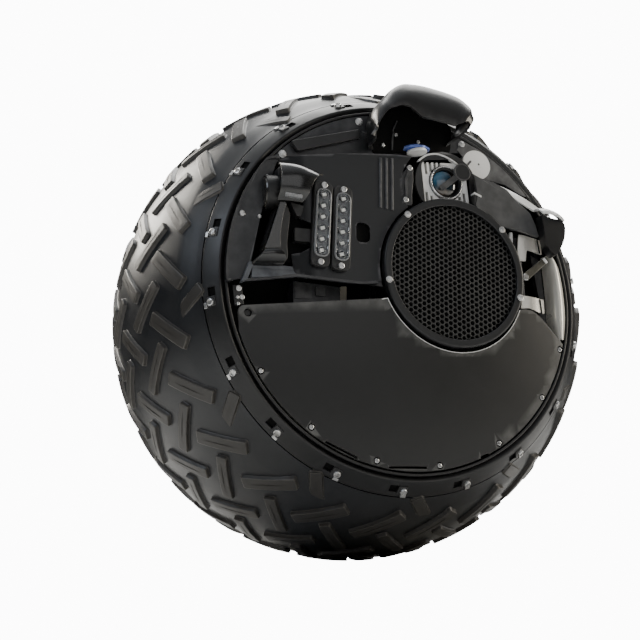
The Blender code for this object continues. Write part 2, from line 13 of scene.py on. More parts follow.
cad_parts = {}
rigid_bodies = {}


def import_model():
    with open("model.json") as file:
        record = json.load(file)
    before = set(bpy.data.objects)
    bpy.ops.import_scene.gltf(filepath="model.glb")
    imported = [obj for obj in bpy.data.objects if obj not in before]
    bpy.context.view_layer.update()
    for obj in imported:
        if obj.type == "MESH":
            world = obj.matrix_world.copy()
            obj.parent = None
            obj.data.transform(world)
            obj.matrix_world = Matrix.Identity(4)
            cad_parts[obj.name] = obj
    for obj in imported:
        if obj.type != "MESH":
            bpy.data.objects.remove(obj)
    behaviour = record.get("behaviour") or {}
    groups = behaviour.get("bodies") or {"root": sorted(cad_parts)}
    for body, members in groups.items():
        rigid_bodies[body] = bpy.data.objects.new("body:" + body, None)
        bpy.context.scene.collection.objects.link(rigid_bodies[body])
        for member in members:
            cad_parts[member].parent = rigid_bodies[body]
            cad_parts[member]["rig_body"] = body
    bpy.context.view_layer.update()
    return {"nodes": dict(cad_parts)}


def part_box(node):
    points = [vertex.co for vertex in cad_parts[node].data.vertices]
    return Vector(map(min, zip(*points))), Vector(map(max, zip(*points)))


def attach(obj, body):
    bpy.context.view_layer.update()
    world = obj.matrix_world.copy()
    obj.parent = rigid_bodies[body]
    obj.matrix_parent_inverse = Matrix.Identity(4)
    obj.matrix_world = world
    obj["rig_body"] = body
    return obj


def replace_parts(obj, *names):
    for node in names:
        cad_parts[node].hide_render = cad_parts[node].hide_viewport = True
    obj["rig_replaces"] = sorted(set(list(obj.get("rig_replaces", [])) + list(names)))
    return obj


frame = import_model()

# Driving dimensions, from the frame
axle_low, axle_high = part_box("main_axle")
tyre_low, tyre_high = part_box("tyre")
CENTRE = (axle_low + axle_high) / 2
TREAD = (tyre_high.z - tyre_low.z) / 2 - 0.0004
CARCASS = 0.389
CHASSIS = "chassis"

# Angles from the axle where the tyre and its flange ring begin and end
TYRE_EDGE = 57.06
RING_OUT = 56.90
RING_IN = 51.95

# Pod places, as (y, z) from the ball's centre, and depths along x
SPEAKER = (0.080, 0.021)
CAMERA = (0.0915, 0.1745)
CAMERA_POINT = Vector(CAMERA)
WIPER_PIVOT = (0.118, 0.192)
WIPER_TIP = (0.075, 0.162)
LATCH_PIVOT = (0.213, 0.017)
LATCH_END = (0.256, 0.047)
SENSOR = (0.158, 0.214)
RIM = 0.2922
LIP_X = 0.240
PLATE_X = 0.256
WING_RADIUS = 0.2985
COVER_RADIUS = 0.2902
COVER_RISE = 0.022
SCOOP_RADIUS = 0.1290
FLANGE_RADIUS = 0.1235
MESH_RADIUS = 0.1108
LENS = (CAMERA[0], CAMERA[1] + 0.002)
COVER_SCREWS = [(-0.254, -0.129), (-0.182, -0.216), (-0.081, -0.2705), (0.024, -0.2820), (0.133, -0.251),
                (0.222, -0.180), (0.268, -0.101)]
COVER_CORNER_HOLE = (-0.2665, -0.0400)
FRONT_LAMPS = (-0.1515, 0.0270), (-0.1305, 0.1640)
REAR_LAMPS = (-0.1180, 0.0210), (-0.0985, 0.1580)
LAMPS_PER_BAR = 6

# The rolling shell: 18 bolts a side, and the tread's rows as (row, lean, first longitude, length, width)
RING_BOLTS = 18
FIRST_BOLT = 13.6
BARS_PER_ROW = 24
ROW_MIDDLE = 2.0
ROW_STEP = 8.25
TREAD_ROWS = [(2.5, -41, 6.8, 0.0900, 0.0228), (1.5, 41, 14.0, 0.0890, 0.0186),
              (0.5, -42, 6.6, 0.0870, 0.0206),
              (-0.5, 41, 13.6, 0.0880, 0.0190), (-1.5, -41, 6.6, 0.0880, 0.0200),
              (-2.5, 41, 13.6, 0.0880, 0.0200)]

# The camera, from the ball's centre, in metres and degrees
VIEW_PLACE = (2.1458, -0.9723, -0.5501)
VIEW_AZIMUTH = 66.67
VIEW_ELEVATION = -13.52
VIEW_ROLL = -5.76


# Materials


def node_material(name):
    """A new material with its node tree and shader."""
    made = bpy.data.materials.new(name)
    made.use_nodes = True
    tree = made.node_tree
    shader = tree.nodes["Principled BSDF"]
    return made, tree, shader


def noise(tree, scale, detail=4.0, stretch=(1, 1, 1)):
    """A noise value fixed to the object's own coordinates."""
    place = tree.nodes.new("ShaderNodeTexCoord")
    mapping = tree.nodes.new("ShaderNodeMapping")
    mapping.inputs["Scale"].default_value = stretch
    texture = tree.nodes.new("ShaderNodeTexNoise")
    texture.inputs["Scale"].default_value = scale
    texture.inputs["Detail"].default_value = detail
    tree.links.new(place.outputs["Object"], mapping.inputs["Vector"])
    tree.links.new(mapping.outputs["Vector"], texture.inputs["Vector"])
    return texture.outputs[0]


def remap(tree, value, low, high, from_low=0.3, from_high=0.7):
    """Stretches a value's range from_low-from_high onto low-high."""
    ranger = tree.nodes.new("ShaderNodeMapRange")
    ranger.inputs["From Min"].default_value = from_low
    ranger.inputs["From Max"].default_value = from_high
    ranger.inputs["To Min"].default_value = low
    ranger.inputs["To Max"].default_value = high
    tree.links.new(value, ranger.inputs["Value"])
    return ranger.outputs["Result"]


def mix(tree, factor, first, second):
    """Blends two colours by a factor."""
    mixer = tree.nodes.new("ShaderNodeMix")
    mixer.data_type = "RGBA"
    tree.links.new(factor, mixer.inputs["Factor"])
    for socket, value in ((mixer.inputs["A"], first), (mixer.inputs["B"], second)):
        if isinstance(value, tuple):
            socket.default_value = (*value, 1)
        else:
            tree.links.new(value, socket)
    return mixer.outputs["Result"]


def finish_surface(name, colour, second, rough, rough_spread, metallic=0.0, grain=900.0, bump=0.05,
                   patch=9.0, edge_wear_and_highlight=None, stretch=(1, 1, 1), coat=0.0, specular=0.5):
    """A Principled surface with patchy colour, uneven gloss, fine relief and lightened convex edges, partly
    edge wear and partly painted highlight.
    """
    made, tree, shader = node_material(name)
    patches = noise(tree, patch, 5.0)
    tint = mix(tree, remap(tree, patches, 0, 1), colour, second)
    # Convex edges, found by pointiness and broken up by noise, are mixed towards a lighter colour: partly
    # edge wear, partly a painted highlight on the edges.
    if edge_wear_and_highlight:
        edge = tree.nodes.new("ShaderNodeNewGeometry")
        lit_and_rubbed_edge = remap(tree, edge.outputs["Pointiness"], 0.0, 1.0, 0.515, 0.60)
        lit_and_worn_edge_mask = tree.nodes.new("ShaderNodeMath")
        lit_and_worn_edge_mask.operation = "MULTIPLY"
        tree.links.new(lit_and_rubbed_edge, lit_and_worn_edge_mask.inputs[0])
        tree.links.new(remap(tree, noise(tree, patch * 6, 6.0), 0.2, 1.0), lit_and_worn_edge_mask.inputs[1])
        tint = mix(tree, lit_and_worn_edge_mask.outputs[0], tint, edge_wear_and_highlight)
    tree.links.new(tint, shader.inputs["Base Color"])
    blotches = noise(tree, patch * 3.3, 6.0, stretch)
    tree.links.new(remap(tree, blotches, rough - rough_spread, rough + rough_spread),
                   shader.inputs["Roughness"])
    relief = tree.nodes.new("ShaderNodeBump")
    relief.inputs["Strength"].default_value = bump
    relief.inputs["Distance"].default_value = 0.0006
    tree.links.new(noise(tree, grain, 3.0, stretch), relief.inputs["Height"])
    tree.links.new(relief.outputs["Normal"], shader.inputs["Normal"])
    shader.inputs["Metallic"].default_value = metallic
    shader.inputs["Coat Weight"].default_value = coat
    shader.inputs["Coat Roughness"].default_value = 0.12
    shader.inputs["Specular IOR Level"].default_value = specular
    return made


def lens_material(name, tint, roughness):
    """Clear moulded plastic that lets the lamps behind it show."""
    made, tree, shader = node_material(name)
    shader.inputs["Base Color"].default_value = (*tint, 1)
    shader.inputs["Transmission Weight"].default_value = 1.0
    shader.inputs["IOR"].default_value = 1.12
    tree.links.new(remap(tree, noise(tree, 60.0), roughness * 0.7, roughness * 1.6),
                   shader.inputs["Roughness"])
    return made


def coated_glass(name):
    """Camera glass: dark, with a painted blue reflection that fades across the dome into brown."""
    made, tree, shader = node_material(name)
    place = tree.nodes.new("ShaderNodeTexCoord")
    apart = tree.nodes.new("ShaderNodeSeparateXYZ")
    tree.links.new(place.outputs["Object"], apart.inputs["Vector"])
    lens_top = CENTRE.z + CAMERA[1]
    height = remap(tree, apart.outputs["Z"], 0.0, 1.0, lens_top - 0.012, lens_top + 0.018)
    across = remap(tree, apart.outputs["Y"], 0.0, 1.0, CAMERA[0] + 0.014, CAMERA[0] - 0.020)
    # Painted reflection: the blue grows towards the top of the lens and towards one side, by position on the
    # dome.
    blue = tree.nodes.new("ShaderNodeMath")
    blue.operation = "MULTIPLY"
    tree.links.new(height, blue.inputs[0])
    tree.links.new(across, blue.inputs[1])
    swirl = remap(tree, noise(tree, 55.0, 2.0), 0.0, 1.0, 0.45, 0.6)
    depths = mix(tree, swirl, (0.010, 0.009, 0.008), (0.075, 0.055, 0.040))
    tree.links.new(mix(tree, blue.outputs[0], depths, (0.05, 0.24, 0.42)), shader.inputs["Base Color"])
    shader.inputs["Roughness"].default_value = 0.06
    shader.inputs["Coat Weight"].default_value = 1.0
    shader.inputs["Coat Roughness"].default_value = 0.02
    return made


# Carcass rubber, darker and cooler than the bars' rubber: painted shade between the bars. The bars' rubber is
# three times lighter and warmer: partly dust on the bars, partly painted light.
RUBBER = finish_surface("tread_rubber", (0.0085, 0.0095, 0.011), (0.013, 0.014, 0.016), 0.36, 0.03,
                        grain=700,
                        bump=0.12, patch=7)
LUG_RUBBER_DUST_AND_LIGHT = finish_surface("bar_rubber", (0.026, 0.024, 0.021), (0.036, 0.033, 0.029), 0.42, 0.05,
                            grain=800,
                            bump=0.12, patch=12, edge_wear_and_highlight=(0.16, 0.15, 0.13))
SATIN = finish_surface("satin_black", (0.0065, 0.0065, 0.0068), (0.0085, 0.0085, 0.0088), 0.30, 0.02,
                       grain=1500,
                       bump=0.03, edge_wear_and_highlight=(0.05, 0.05, 0.05))
COVER = finish_surface("cover_paint", (0.0062, 0.0062, 0.0060), (0.0074, 0.0074, 0.0071), 0.34, 0.012,
                       grain=1700,
                       bump=0.03, patch=5, edge_wear_and_highlight=(0.10, 0.10, 0.095))
GREY = finish_surface("dark_grey_plate", (0.014, 0.0145, 0.0155), (0.018, 0.0185, 0.0195), 0.34, 0.02,
                      metallic=0.2, grain=1300, bump=0.04, edge_wear_and_highlight=(0.20, 0.20, 0.20))
BLACK = finish_surface("black_plastic", (0.006, 0.006, 0.0062), (0.010, 0.010, 0.010), 0.46, 0.07,
                       grain=1900,
                       bump=0.12, edge_wear_and_highlight=(0.03, 0.03, 0.03))
# Near-black and nearly matte: painted shade, for sheets set in slots, pockets, holes and behind parts where
# there is only shade.
PAINTED_SHADE = finish_surface("unlit_inner_face", (0.002, 0.002, 0.002), (0.003, 0.003, 0.003), 0.7, 0.05,
                      bump=0.02,
                      specular=0.1)
RING_PAINT = finish_surface("ring_paint", (0.006, 0.006, 0.0062), (0.009, 0.009, 0.0092), 0.38, 0.05,
                            grain=1500,
                            bump=0.05, edge_wear_and_highlight=(0.06, 0.06, 0.06))
PLATE_PAINT = finish_surface("plate_paint", (0.0068, 0.0078, 0.0092), (0.0080, 0.0090, 0.0106), 0.36, 0.015,
                             grain=1500, bump=0.04, edge_wear_and_highlight=(0.12, 0.12, 0.125))
# The plate paint made nearly four times lighter for the shelf below the front lamp: painted light on its lit
# top.
SHELF_LIT_PAINT = finish_surface("shelf_paint", (0.026, 0.030, 0.036), (0.032, 0.037, 0.044), 0.40, 0.02,
                             grain=1300,
                             bump=0.05, edge_wear_and_highlight=(0.20, 0.21, 0.23))
MESH_PAINT = finish_surface("mesh_paint", (0.030, 0.030, 0.030), (0.042, 0.042, 0.041), 0.42, 0.06,
                            metallic=0.3,
                            grain=1900, bump=0.08)
GLOSS = finish_surface("gloss_black", (0.006, 0.006, 0.0062), (0.009, 0.009, 0.009), 0.20, 0.03, grain=1200,
                       bump=0.03, coat=0.6, edge_wear_and_highlight=(0.10, 0.09, 0.07))
PANEL_GREY = finish_surface("rear_panel_grey", (0.034, 0.035, 0.036), (0.040, 0.041, 0.042), 0.38, 0.02,
                            metallic=0.15, grain=1300, bump=0.04, edge_wear_and_highlight=(0.30, 0.30, 0.30))
LAMP_TRAY = finish_surface("lamp_tray", (0.12, 0.125, 0.13), (0.17, 0.175, 0.18), 0.35, 0.06, metallic=0.3,
                           patch=90,
                           bump=0.05)
LAMP_RIM = finish_surface("lamp_rim", (0.10, 0.105, 0.11), (0.14, 0.145, 0.15), 0.22, 0.05, coat=0.5,
                          patch=60,
                          bump=0.03, edge_wear_and_highlight=(0.4, 0.4, 0.4))
# Near-white diffuse colour for the chrome side cap and its tab: the cap's bright reflection painted into its
# colour.
WHITE_PAINTED_REFLECTION = finish_surface("white_cap", (0.80, 0.80, 0.78), (0.88, 0.88, 0.86), 0.30, 0.05, patch=25,
                           bump=0.03)
# Pale metal for the light metal parts; also a painted highlight on the cover's edge strip, the camera brow,
# the camera clip's top, the rear slope and the corner hood's brow, dark parts whose lit edges and tops take
# this pale colour.
PALE_METAL_AND_HIGHLIGHT = finish_surface("bare_metal", (0.62, 0.62, 0.61), (0.74, 0.74, 0.73), 0.34, 0.05, metallic=0.15,
                            grain=600, bump=0.05, edge_wear_and_highlight=(0.9, 0.9, 0.88))
# Pale warm cream for a black satin cowl: its bright warm reflection painted into its colour.
COWL_PAINTED_REFLECTION = finish_surface("warm_satin_cowl", (0.56, 0.54, 0.48), (0.64, 0.62, 0.56), 0.30, 0.04, metallic=0.4,
                      bump=0.04)
OLIVE = finish_surface("olive_lever", (0.026, 0.025, 0.018), (0.038, 0.036, 0.027), 0.34, 0.05,
                       metallic=0.5,
                       bump=0.06, edge_wear_and_highlight=(0.35, 0.33, 0.28))
STEEL = finish_surface("brushed_stainless", (0.66, 0.635, 0.58), (0.72, 0.695, 0.64), 0.28, 0.03,
                       metallic=0.45,
                       grain=900, bump=0.02)
BOLT = finish_surface("zinc_bolt", (0.34, 0.335, 0.32), (0.46, 0.455, 0.44), 0.28, 0.06, metallic=0.85,
                      grain=800,
                      bump=0.08, edge_wear_and_highlight=(0.9, 0.9, 0.9))
ALUMINIUM = finish_surface("machined_aluminium", (0.50, 0.51, 0.53), (0.62, 0.63, 0.65), 0.30, 0.06,
                           metallic=1.0,
                           grain=600, bump=0.08, stretch=(1, 8, 1))
CHROME = finish_surface("bright_cap", (0.86, 0.86, 0.87), (0.93, 0.93, 0.93), 0.16, 0.05, metallic=0.9,
                        grain=300, bump=0.03)
BLUE = finish_surface("blue_anodised", (0.010, 0.045, 0.30), (0.02, 0.08, 0.42), 0.22, 0.05, metallic=0.4,
                      grain=900, bump=0.05, edge_wear_and_highlight=(0.45, 0.55, 0.85))
BEIGE = finish_surface("connector_plastic", (0.22, 0.20, 0.16), (0.28, 0.25, 0.20), 0.5, 0.08, bump=0.1)
LED = finish_surface("led_chip", (0.86, 0.85, 0.80), (0.95, 0.94, 0.90), 0.25, 0.05, grain=2500, bump=0.1,
                     patch=200)
CLEAR = lens_material("clear_lens", (0.96, 0.97, 0.98), 0.01)
GLASS = coated_glass("coated_glass")
IRON = finish_surface("cast_iron", (0.05, 0.05, 0.055), (0.08, 0.08, 0.085), 0.5, 0.1, metallic=0.8,
                      bump=0.4)
WRAP = finish_surface("battery_wrap", (0.02, 0.06, 0.16), (0.03, 0.08, 0.20), 0.35, 0.05, bump=0.1)


# Shapes


def rounded(outline, radius, steps=4):
    """Rounds the corners of a closed outline. A corner may be (y, z, its own radius)."""
    points = []
    count = len(outline)
    for k in range(count):
        before, here, after = (Vector(outline[j % count][:2]) for j in (k - 1, k, k + 1))
        own = outline[k][2] if len(outline[k]) > 2 else radius
        back, on = before - here, after - here
        reach_back = min(own, back.length * 0.49)
        reach_on = min(own, on.length * 0.49)
        if own <= 0 or back.angle(on, 0) > math.radians(172):
            points.append((here.x, here.y))
            continue
        start = here + back.normalized() * reach_back
        end = here + on.normalized() * reach_on
        for step in range(steps + 1):
            t = step / steps
            spot = start * (1 - t) ** 2 + here * 2 * t * (1 - t) + end * t ** 2
            points.append((spot.x, spot.y))
    return points


def arc(centre, radius, first, last, steps):
    """Points on a circle, with both end angles in degrees."""
    angles = [math.radians(first + (last - first) * k / steps) for k in range(steps + 1)]
    return [(centre[0] + radius * math.cos(a), centre[1] + radius * math.sin(a)) for a in angles]


def strip(start, end, width, ends=0.0):
    """Outline of a bar from start to end. ends rounds its four corners."""
    along = (Vector(end) - Vector(start)).normalized()
    across = Vector((-along.y, along.x)) * width / 2
    corners = [Vector(start) + across, Vector(start) - across, Vector(end) - across, Vector(end) + across]
    return rounded([tuple(c) for c in corners], ends, 5)


def on_sphere(radius, degrees):
    """The two coordinates of a point on a circle, from its radius and angle."""
    return radius * math.cos(math.radians(degrees)), radius * math.sin(math.radians(degrees))


def turned(profile, segments=160, centre=(0.0, 0.0)):
    """Turns a closed (x, radius) outline about an axle through (y, z) = centre."""
    bm = bmesh.new()
    rings = []
    for index in range(segments):
        angle = 2 * math.pi * index / segments
        rings.append([bm.verts.new((x, centre[0] + r * math.cos(angle), centre[1] + r * math.sin(angle)))
                      for x, r in profile])
    for index in range(segments):
        here, there = rings[index], rings[(index + 1) % segments]
        for k in range(len(profile)):
            j = (k + 1) % len(profile)
            bm.faces.new((here[k], here[j], there[j], there[k]))
    return bm


def turned_plug(profile, segments=64, centre=(0.0, 0.0)):
    """Turns an open (x, radius) outline and closes both ends with flat faces."""
    bm = bmesh.new()
    rings = [[bm.verts.new((x, centre[0] + r * math.cos(2 * math.pi * k / segments),
                            centre[1] + r * math.sin(2 * math.pi * k / segments))) for k in range(segments)]
             for x, r in profile]
    for near, far in zip(rings, rings[1:]):
        for k in range(segments):
            bm.faces.new((near[k], near[(k + 1) % segments], far[(k + 1) % segments], far[k]))
    bm.faces.new(rings[0])
    bm.faces.new(rings[-1])
    return bm


def prism(outline, low, high):
    """Extrudes a (y, z) outline from x = low to x = high."""
    bm = bmesh.new()
    near = [bm.verts.new((low, y, z)) for y, z in outline]
    far = [bm.verts.new((high, y, z)) for y, z in outline]
    bm.faces.new(near)
    bm.faces.new(far)
    for k in range(len(outline)):
        j = (k + 1) % len(outline)
        bm.faces.new((near[k], near[j], far[j], far[k]))
    return bm


def slab(outline, corner, low, high):
    """A prism whose outline has rounded corners."""
    return prism(rounded(outline, corner), low, high)


def shaped_plate(outline, thickness, depth, spacing=0.02):
    """A plate whose outer face lies at x = depth(y, z), divided finely enough to follow it."""
    bm = prism(outline, -thickness, 0.0)
    ys = [y for y, z in outline]
    zs = [z for y, z in outline]
    for axis, low, high in ((1, min(ys), max(ys)), (2, min(zs), max(zs))):
        normal = [0, 0, 0]
        normal[axis] = 1
        place = low + spacing
        while place < high - spacing / 2:
            spot = [0, 0, 0]
            spot[axis] = place
            bmesh.ops.bisect_plane(bm, geom=bm.verts[:] + bm.edges[:] + bm.faces[:], plane_co=spot,
                                   plane_no=normal)
            place += spacing
    for vertex in bm.verts:
        vertex.co.x += depth(vertex.co.y, vertex.co.z)
    return bm


def smooth_line(points, count):
    """Points along a Catmull-Rom curve through the given ones."""
    result = []
    last = len(points) - 1
    for step in range(count + 1):
        place = last * step / count
        k = min(int(place), last - 1)
        t = place - k
        p0, p1, p2, p3 = (Vector(points[min(max(j, 0), last)]) for j in (k - 1, k, k + 1, k + 2))
        result.append(0.5 * (2 * p1 + (p2 - p0) * t + (2 * p0 - 5 * p1 + 4 * p2 - p3) * t ** 2
                             + (3 * p1 - p0 - 3 * p2 + p3) * t ** 3))
    return result


def smooth_grid(rows, down, across):
    """A finer grid that passes smoothly through a coarse grid of (x, y, z) rows."""
    lines = [smooth_line(row, across) for row in rows]
    columns = [smooth_line([line[k] for line in lines], down) for k in range(across + 1)]
    return [[column[k] for column in columns] for k in range(down + 1)]


def sheet_from(grid, thickness, inside=(-1.0, 0.0, 0.0)):
    """A closed sheet with the grid as its outer face, thickened towards the side where inside lies."""
    rows, columns = len(grid), len(grid[0])

    def normal(r, c):
        down = grid[min(r + 1, rows - 1)][c] - grid[max(r - 1, 0)][c]
        over = grid[r][min(c + 1, columns - 1)] - grid[r][max(c - 1, 0)]
        return down.cross(over).normalized()

    outwards = sum(normal(r,
                          c).dot(grid[r][c] - Vector(inside)) for r in range(rows) for c in range(columns))
    thickness = math.copysign(thickness, outwards)

    bm = bmesh.new()
    front = [[bm.verts.new(point) for point in row] for row in grid]
    back = [[bm.verts.new(grid[r][c] - normal(r,
                                              c) * thickness) for c in range(columns)] for r in range(rows)]
    for r in range(rows - 1):
        for c in range(columns - 1):
            bm.faces.new((front[r][c], front[r][c + 1], front[r + 1][c + 1], front[r + 1][c]))
            bm.faces.new((back[r][c], back[r + 1][c], back[r + 1][c + 1], back[r][c + 1]))
    border = ([(0, c) for c in range(columns - 1)] + [(r, columns - 1) for r in range(rows - 1)]
              + [(rows - 1, c) for c in range(columns - 1, 0,
                                              -1)] + [(r, 0) for r in range(rows - 1, 0, -1)])
    for k, (r, c) in enumerate(border):
        r2, c2 = border[(k + 1) % len(border)]
        bm.faces.new((front[r][c], back[r][c], back[r2][c2], front[r2][c2]))
    return bm


def block(low, high):
    bm = bmesh.new()
    bmesh.ops.create_cube(bm, size=1.0)
    bmesh.ops.scale(bm, vec=[b - a for a, b in zip(low, high)], verts=bm.verts)
    bmesh.ops.translate(bm, vec=[(a + b) / 2 for a, b in zip(low, high)], verts=bm.verts)
    return bm


def merged(*parts):
    """Puts several closed shapes into one mesh."""
    whole = bmesh.new()
    for part in parts:
        mesh = bpy.data.meshes.new("part")
        part.to_mesh(mesh)
        part.free()
        whole.from_mesh(mesh)
        bpy.data.meshes.remove(mesh)
    return whole


def moved(bm, matrix):
    bmesh.ops.transform(bm, matrix=matrix, verts=bm.verts)
    return bm


def facing(origin, normal, up=(0, 0, 1)):
    """A matrix that takes +X to normal and puts the origin at a point."""
    x = Vector(normal).normalized()
    y = Vector(up).cross(x).normalized()
    z = x.cross(y)
    turn = Matrix((x, y, z)).transposed().to_4x4()
    return Matrix.Translation(origin) @ turn


def screw(radius, height, socket=True):
    """A round head along +X from x = 0, with a rounded rim and a sunk socket."""
    edge = min(radius, height) * 0.3
    head = turned_plug([(0, radius), (height - edge, radius), (height - edge * 0.3, radius - edge * 0.3),
                        (height, radius - edge)], 20)
    if not socket:
        return head
    top = [f for f in head.faces if len(f.verts) == 20 and all(v.co.x > height * 0.99 for v in f.verts)]
    inset = bmesh.ops.inset_region(head, faces=top, thickness=radius * 0.28)
    sunk = bmesh.ops.extrude_face_region(head, geom=top)
    bmesh.ops.delete(head, geom=top, context="FACES_ONLY")
    verts = [v for v in sunk["geom"] if isinstance(v, bmesh.types.BMVert)]
    bmesh.ops.translate(head, vec=(-height * 0.6, 0, 0), verts=verts)
    del inset
    return head


def hex_nut(radius, height):
    """A hexagonal head along +X with a washer under it and a stud standing out of its top."""
    washer = turned_plug([(0, radius * 1.25), (height * 0.25, radius * 1.25),
                          (height * 0.3, radius * 1.15)], 24)
    nut = turned_plug([(height * 0.2, radius), (height * 0.85, radius), (height, radius * 0.86)], 6)
    stud = turned_plug([(height * 0.8, radius * 0.5), (height * 1.25, radius * 0.5),
                        (height * 1.4, radius * 0.38)], 16)
    return merged(washer, nut, stud)


def piece(name, bm, material, body=CHASSIS, slot=None, replaces=(), bevel=0.0, angle=35, segments=2):
    """Makes a named, shaded piece that rides on a body, lifted to the ball's centre."""
    bmesh.ops.recalc_face_normals(bm, faces=bm.faces)
    mesh = bpy.data.meshes.new(name)
    bm.to_mesh(mesh)
    bm.free()
    mesh.transform(Matrix.Translation(CENTRE))
    made = bpy.data.objects.new(name, mesh)
    bpy.context.scene.collection.objects.link(made)
    mesh.materials.append(material)
    mesh.shade_smooth()
    mesh.set_sharp_from_angle(angle=math.radians(angle))
    if bevel:
        modifier = made.modifiers.new("edge", "BEVEL")
        modifier.width = bevel
        modifier.segments = segments
        modifier.limit_method = "ANGLE"
        modifier.angle_limit = math.radians(32)
        modifier.harden_normals = True
    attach(made, body)
    if replaces:
        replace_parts(made, *replaces)
    made["pod"] = False
    return made


def pod_piece(name, bm, material, body=CHASSIS, slot="black_plastic", replaces=(), **finish):
    """A piece of the +X pod, which mirror_pod copies to the other side."""
    made = piece("left_" + name, bm, material, body, slot, replaces, **finish)
    made["pod"] = True
    return made


def carve(target, cutters):
    """Cuts closed shapes out of a piece, before its bevel."""
    tool_mesh = bpy.data.meshes.new("cutter")
    whole = merged(*cutters)
    bmesh.ops.recalc_face_normals(whole, faces=whole.faces)
    whole.to_mesh(tool_mesh)
    whole.free()
    tool_mesh.transform(Matrix.Translation(CENTRE))
    tool = bpy.data.objects.new("cutter", tool_mesh)
    bpy.context.scene.collection.objects.link(tool)
    saved = [(m.type, m.width, m.segments, m.angle_limit) for m in target.modifiers if m.type == "BEVEL"]
    target.modifiers.clear()
    cut = target.modifiers.new("cut", "BOOLEAN")
    cut.operation = "DIFFERENCE"
    cut.solver = "EXACT"
    cut.object = tool
    evaluated = target.evaluated_get(bpy.context.evaluated_depsgraph_get())
    result = bpy.data.meshes.new_from_object(evaluated)
    target.modifiers.clear()
    target.data = result
    result.shade_smooth()
    result.set_sharp_from_angle(angle=math.radians(35))
    bpy.data.objects.remove(tool, do_unlink=True)
    for _, width, segments, limit in saved:
        modifier = target.modifiers.new("edge", "BEVEL")
        modifier.width = width
        modifier.segments = segments
        modifier.limit_method = "ANGLE"
        modifier.angle_limit = limit
        modifier.harden_normals = True
    even = target.modifiers.new("even_normals", "WEIGHTED_NORMAL")
    even.keep_sharp = True


# The rolling shell


def lug_loops(length, width, height):
    """Nested outlines of one tread bar: a small fillet, straight sides, a crisp edge and a flat top."""
    steps = [(-0.0024, -0.0014, 0.0060), (-0.0008, 0.0003, 0.0040), (0.0, 0.0012, 0.0030),
             (0.0004, height - 0.0013, 0.0026), (0.0008, height - 0.0004, 0.0024), (0.0017, height, 0.0020),
             (0.0023, height, 0.0018), (width * 0.28, height, 0.0012), (width * 0.44, height, 0.0006)]
    loops = []
    for inset, level, corner in steps:
        a, b = length / 2 - inset, width / 2 - inset
        corner = min(corner, b * 0.95)
        loop = []
        for sign_a, sign_b, start in ((1, 1, 0), (-1, 1, 90), (-1, -1, 180), (1, -1, 270)):
            middle = (sign_a * (a - corner), sign_b * (b - corner))
            loop += arc(middle, corner, start, start + 90, 3)
            if sign_a * sign_b > 0:
                loop += [(sign_b * (a - corner) * f, sign_b * b) for f in (0.6, 0.2, -0.2, -0.6)]
        loops.append([(u, v, level) for u, v in loop])
    return loops


def carcass_radius(latitude):
    """The rubber between the bars dips towards the flange ring."""
    return CARCASS + 0.0040 * min(1.0, max(0.0, (31.5 - abs(latitude)) / 5.0))


def add_lug(bm, latitude, longitude, lean, length, width, top):
    """One bar laid on the ball: lean turns its inner end, seen from outside."""
    root = carcass_radius(latitude)
    latitude, longitude, lean = map(math.radians, (latitude, longitude, lean))
    up = Vector((math.sin(latitude), -math.cos(latitude) * math.sin(longitude),
                 math.cos(latitude) * math.cos(longitude)))
    sideways = (Vector((1, 0, 0)) - up * up.x).normalized()
    around = up.cross(sideways)
    along = sideways * math.cos(lean) + around * math.sin(lean)
    across = up.cross(along)
    rings = []
    for loop in lug_loops(length, width, top - root):
        ring = []
        for u, v, level in loop:
            direction = (up * CARCASS + along * u + across * v).normalized()
            floor = carcass_radius(math.degrees(math.asin(direction.x)))
            foot = floor if level < 0.001 else root
            radius = top if level >= top - root - 0.0001 else min(top, foot + level)
            ring.append(bm.verts.new(direction * radius))
        rings.append(ring)
    count = len(rings[0])
    for near, far in zip(rings, rings[1:]):
        for k in range(count):
            bm.faces.new((near[k], near[(k + 1) % count], far[(k + 1) % count], far[k]))
    bm.faces.new(rings[0])
    bm.faces.new(rings[-1])


def build_tread():
    """Carcass, with six rows of slanted bars and a shallow row along each edge."""
    thickness = 0.010
    steps = 72
    span = 180 - 2 * TYRE_EDGE
    angles = [TYRE_EDGE + span * k / steps for k in range(steps + 1)]
    outer = [on_sphere(carcass_radius(90 - angle), angle) for angle in angles]
    inner = [on_sphere(CARCASS - thickness, 180 - TYRE_EDGE - span * k / 12) for k in range(13)]
    carcass = turned(outer + inner, 240)
    bars = bmesh.new()
    pitch = 360 / BARS_PER_ROW
    for row, lean, start, length, width in TREAD_ROWS:
        for k in range(BARS_PER_ROW):
            stagger = (0.5 if k % 2 else -0.5) if row == 2.5 else 0.0
            add_lug(bars, ROW_MIDDLE + row * ROW_STEP + stagger, start + k * pitch, lean, length, width,
                    TREAD)
    for k in range(BARS_PER_ROW // 2):
        add_lug(bars, 29.3, 61.5 + 2 * k * pitch, 33, 0.062, 0.0200, carcass_radius(29.3) + 0.0020)
        add_lug(bars, -28.0, 69.0 + 2 * k * pitch, -33, 0.056, 0.0200, carcass_radius(28.0) + 0.0020)
    # The carcass takes the painted-shade rubber, the bars the lighter rubber with painted light.
    piece("tyre_carcass", carcass, RUBBER, "rolling_shell", "tyre_rubber", ("tyre",), angle=44)
    piece("tyre_bars", bars, LUG_RUBBER_DUST_AND_LIGHT, "rolling_shell", "tyre_rubber", angle=40)


def ring_spot(longitude, degrees, radius):
    """A point on the flange ring, its outward normal and the direction of growing longitude."""
    x, r = on_sphere(radius, degrees)
    turn = math.radians(longitude)
    out = Vector((0, -math.sin(turn), math.cos(turn)))
    forward = Vector((0, -math.cos(turn), -math.sin(turn)))
    normal = (Vector((1, 0, 0)) * math.cos(math.radians(54.4)) + out * math.sin(math.radians(54.4)))
    return Vector((x, 0, 0)) + out * r, normal, forward


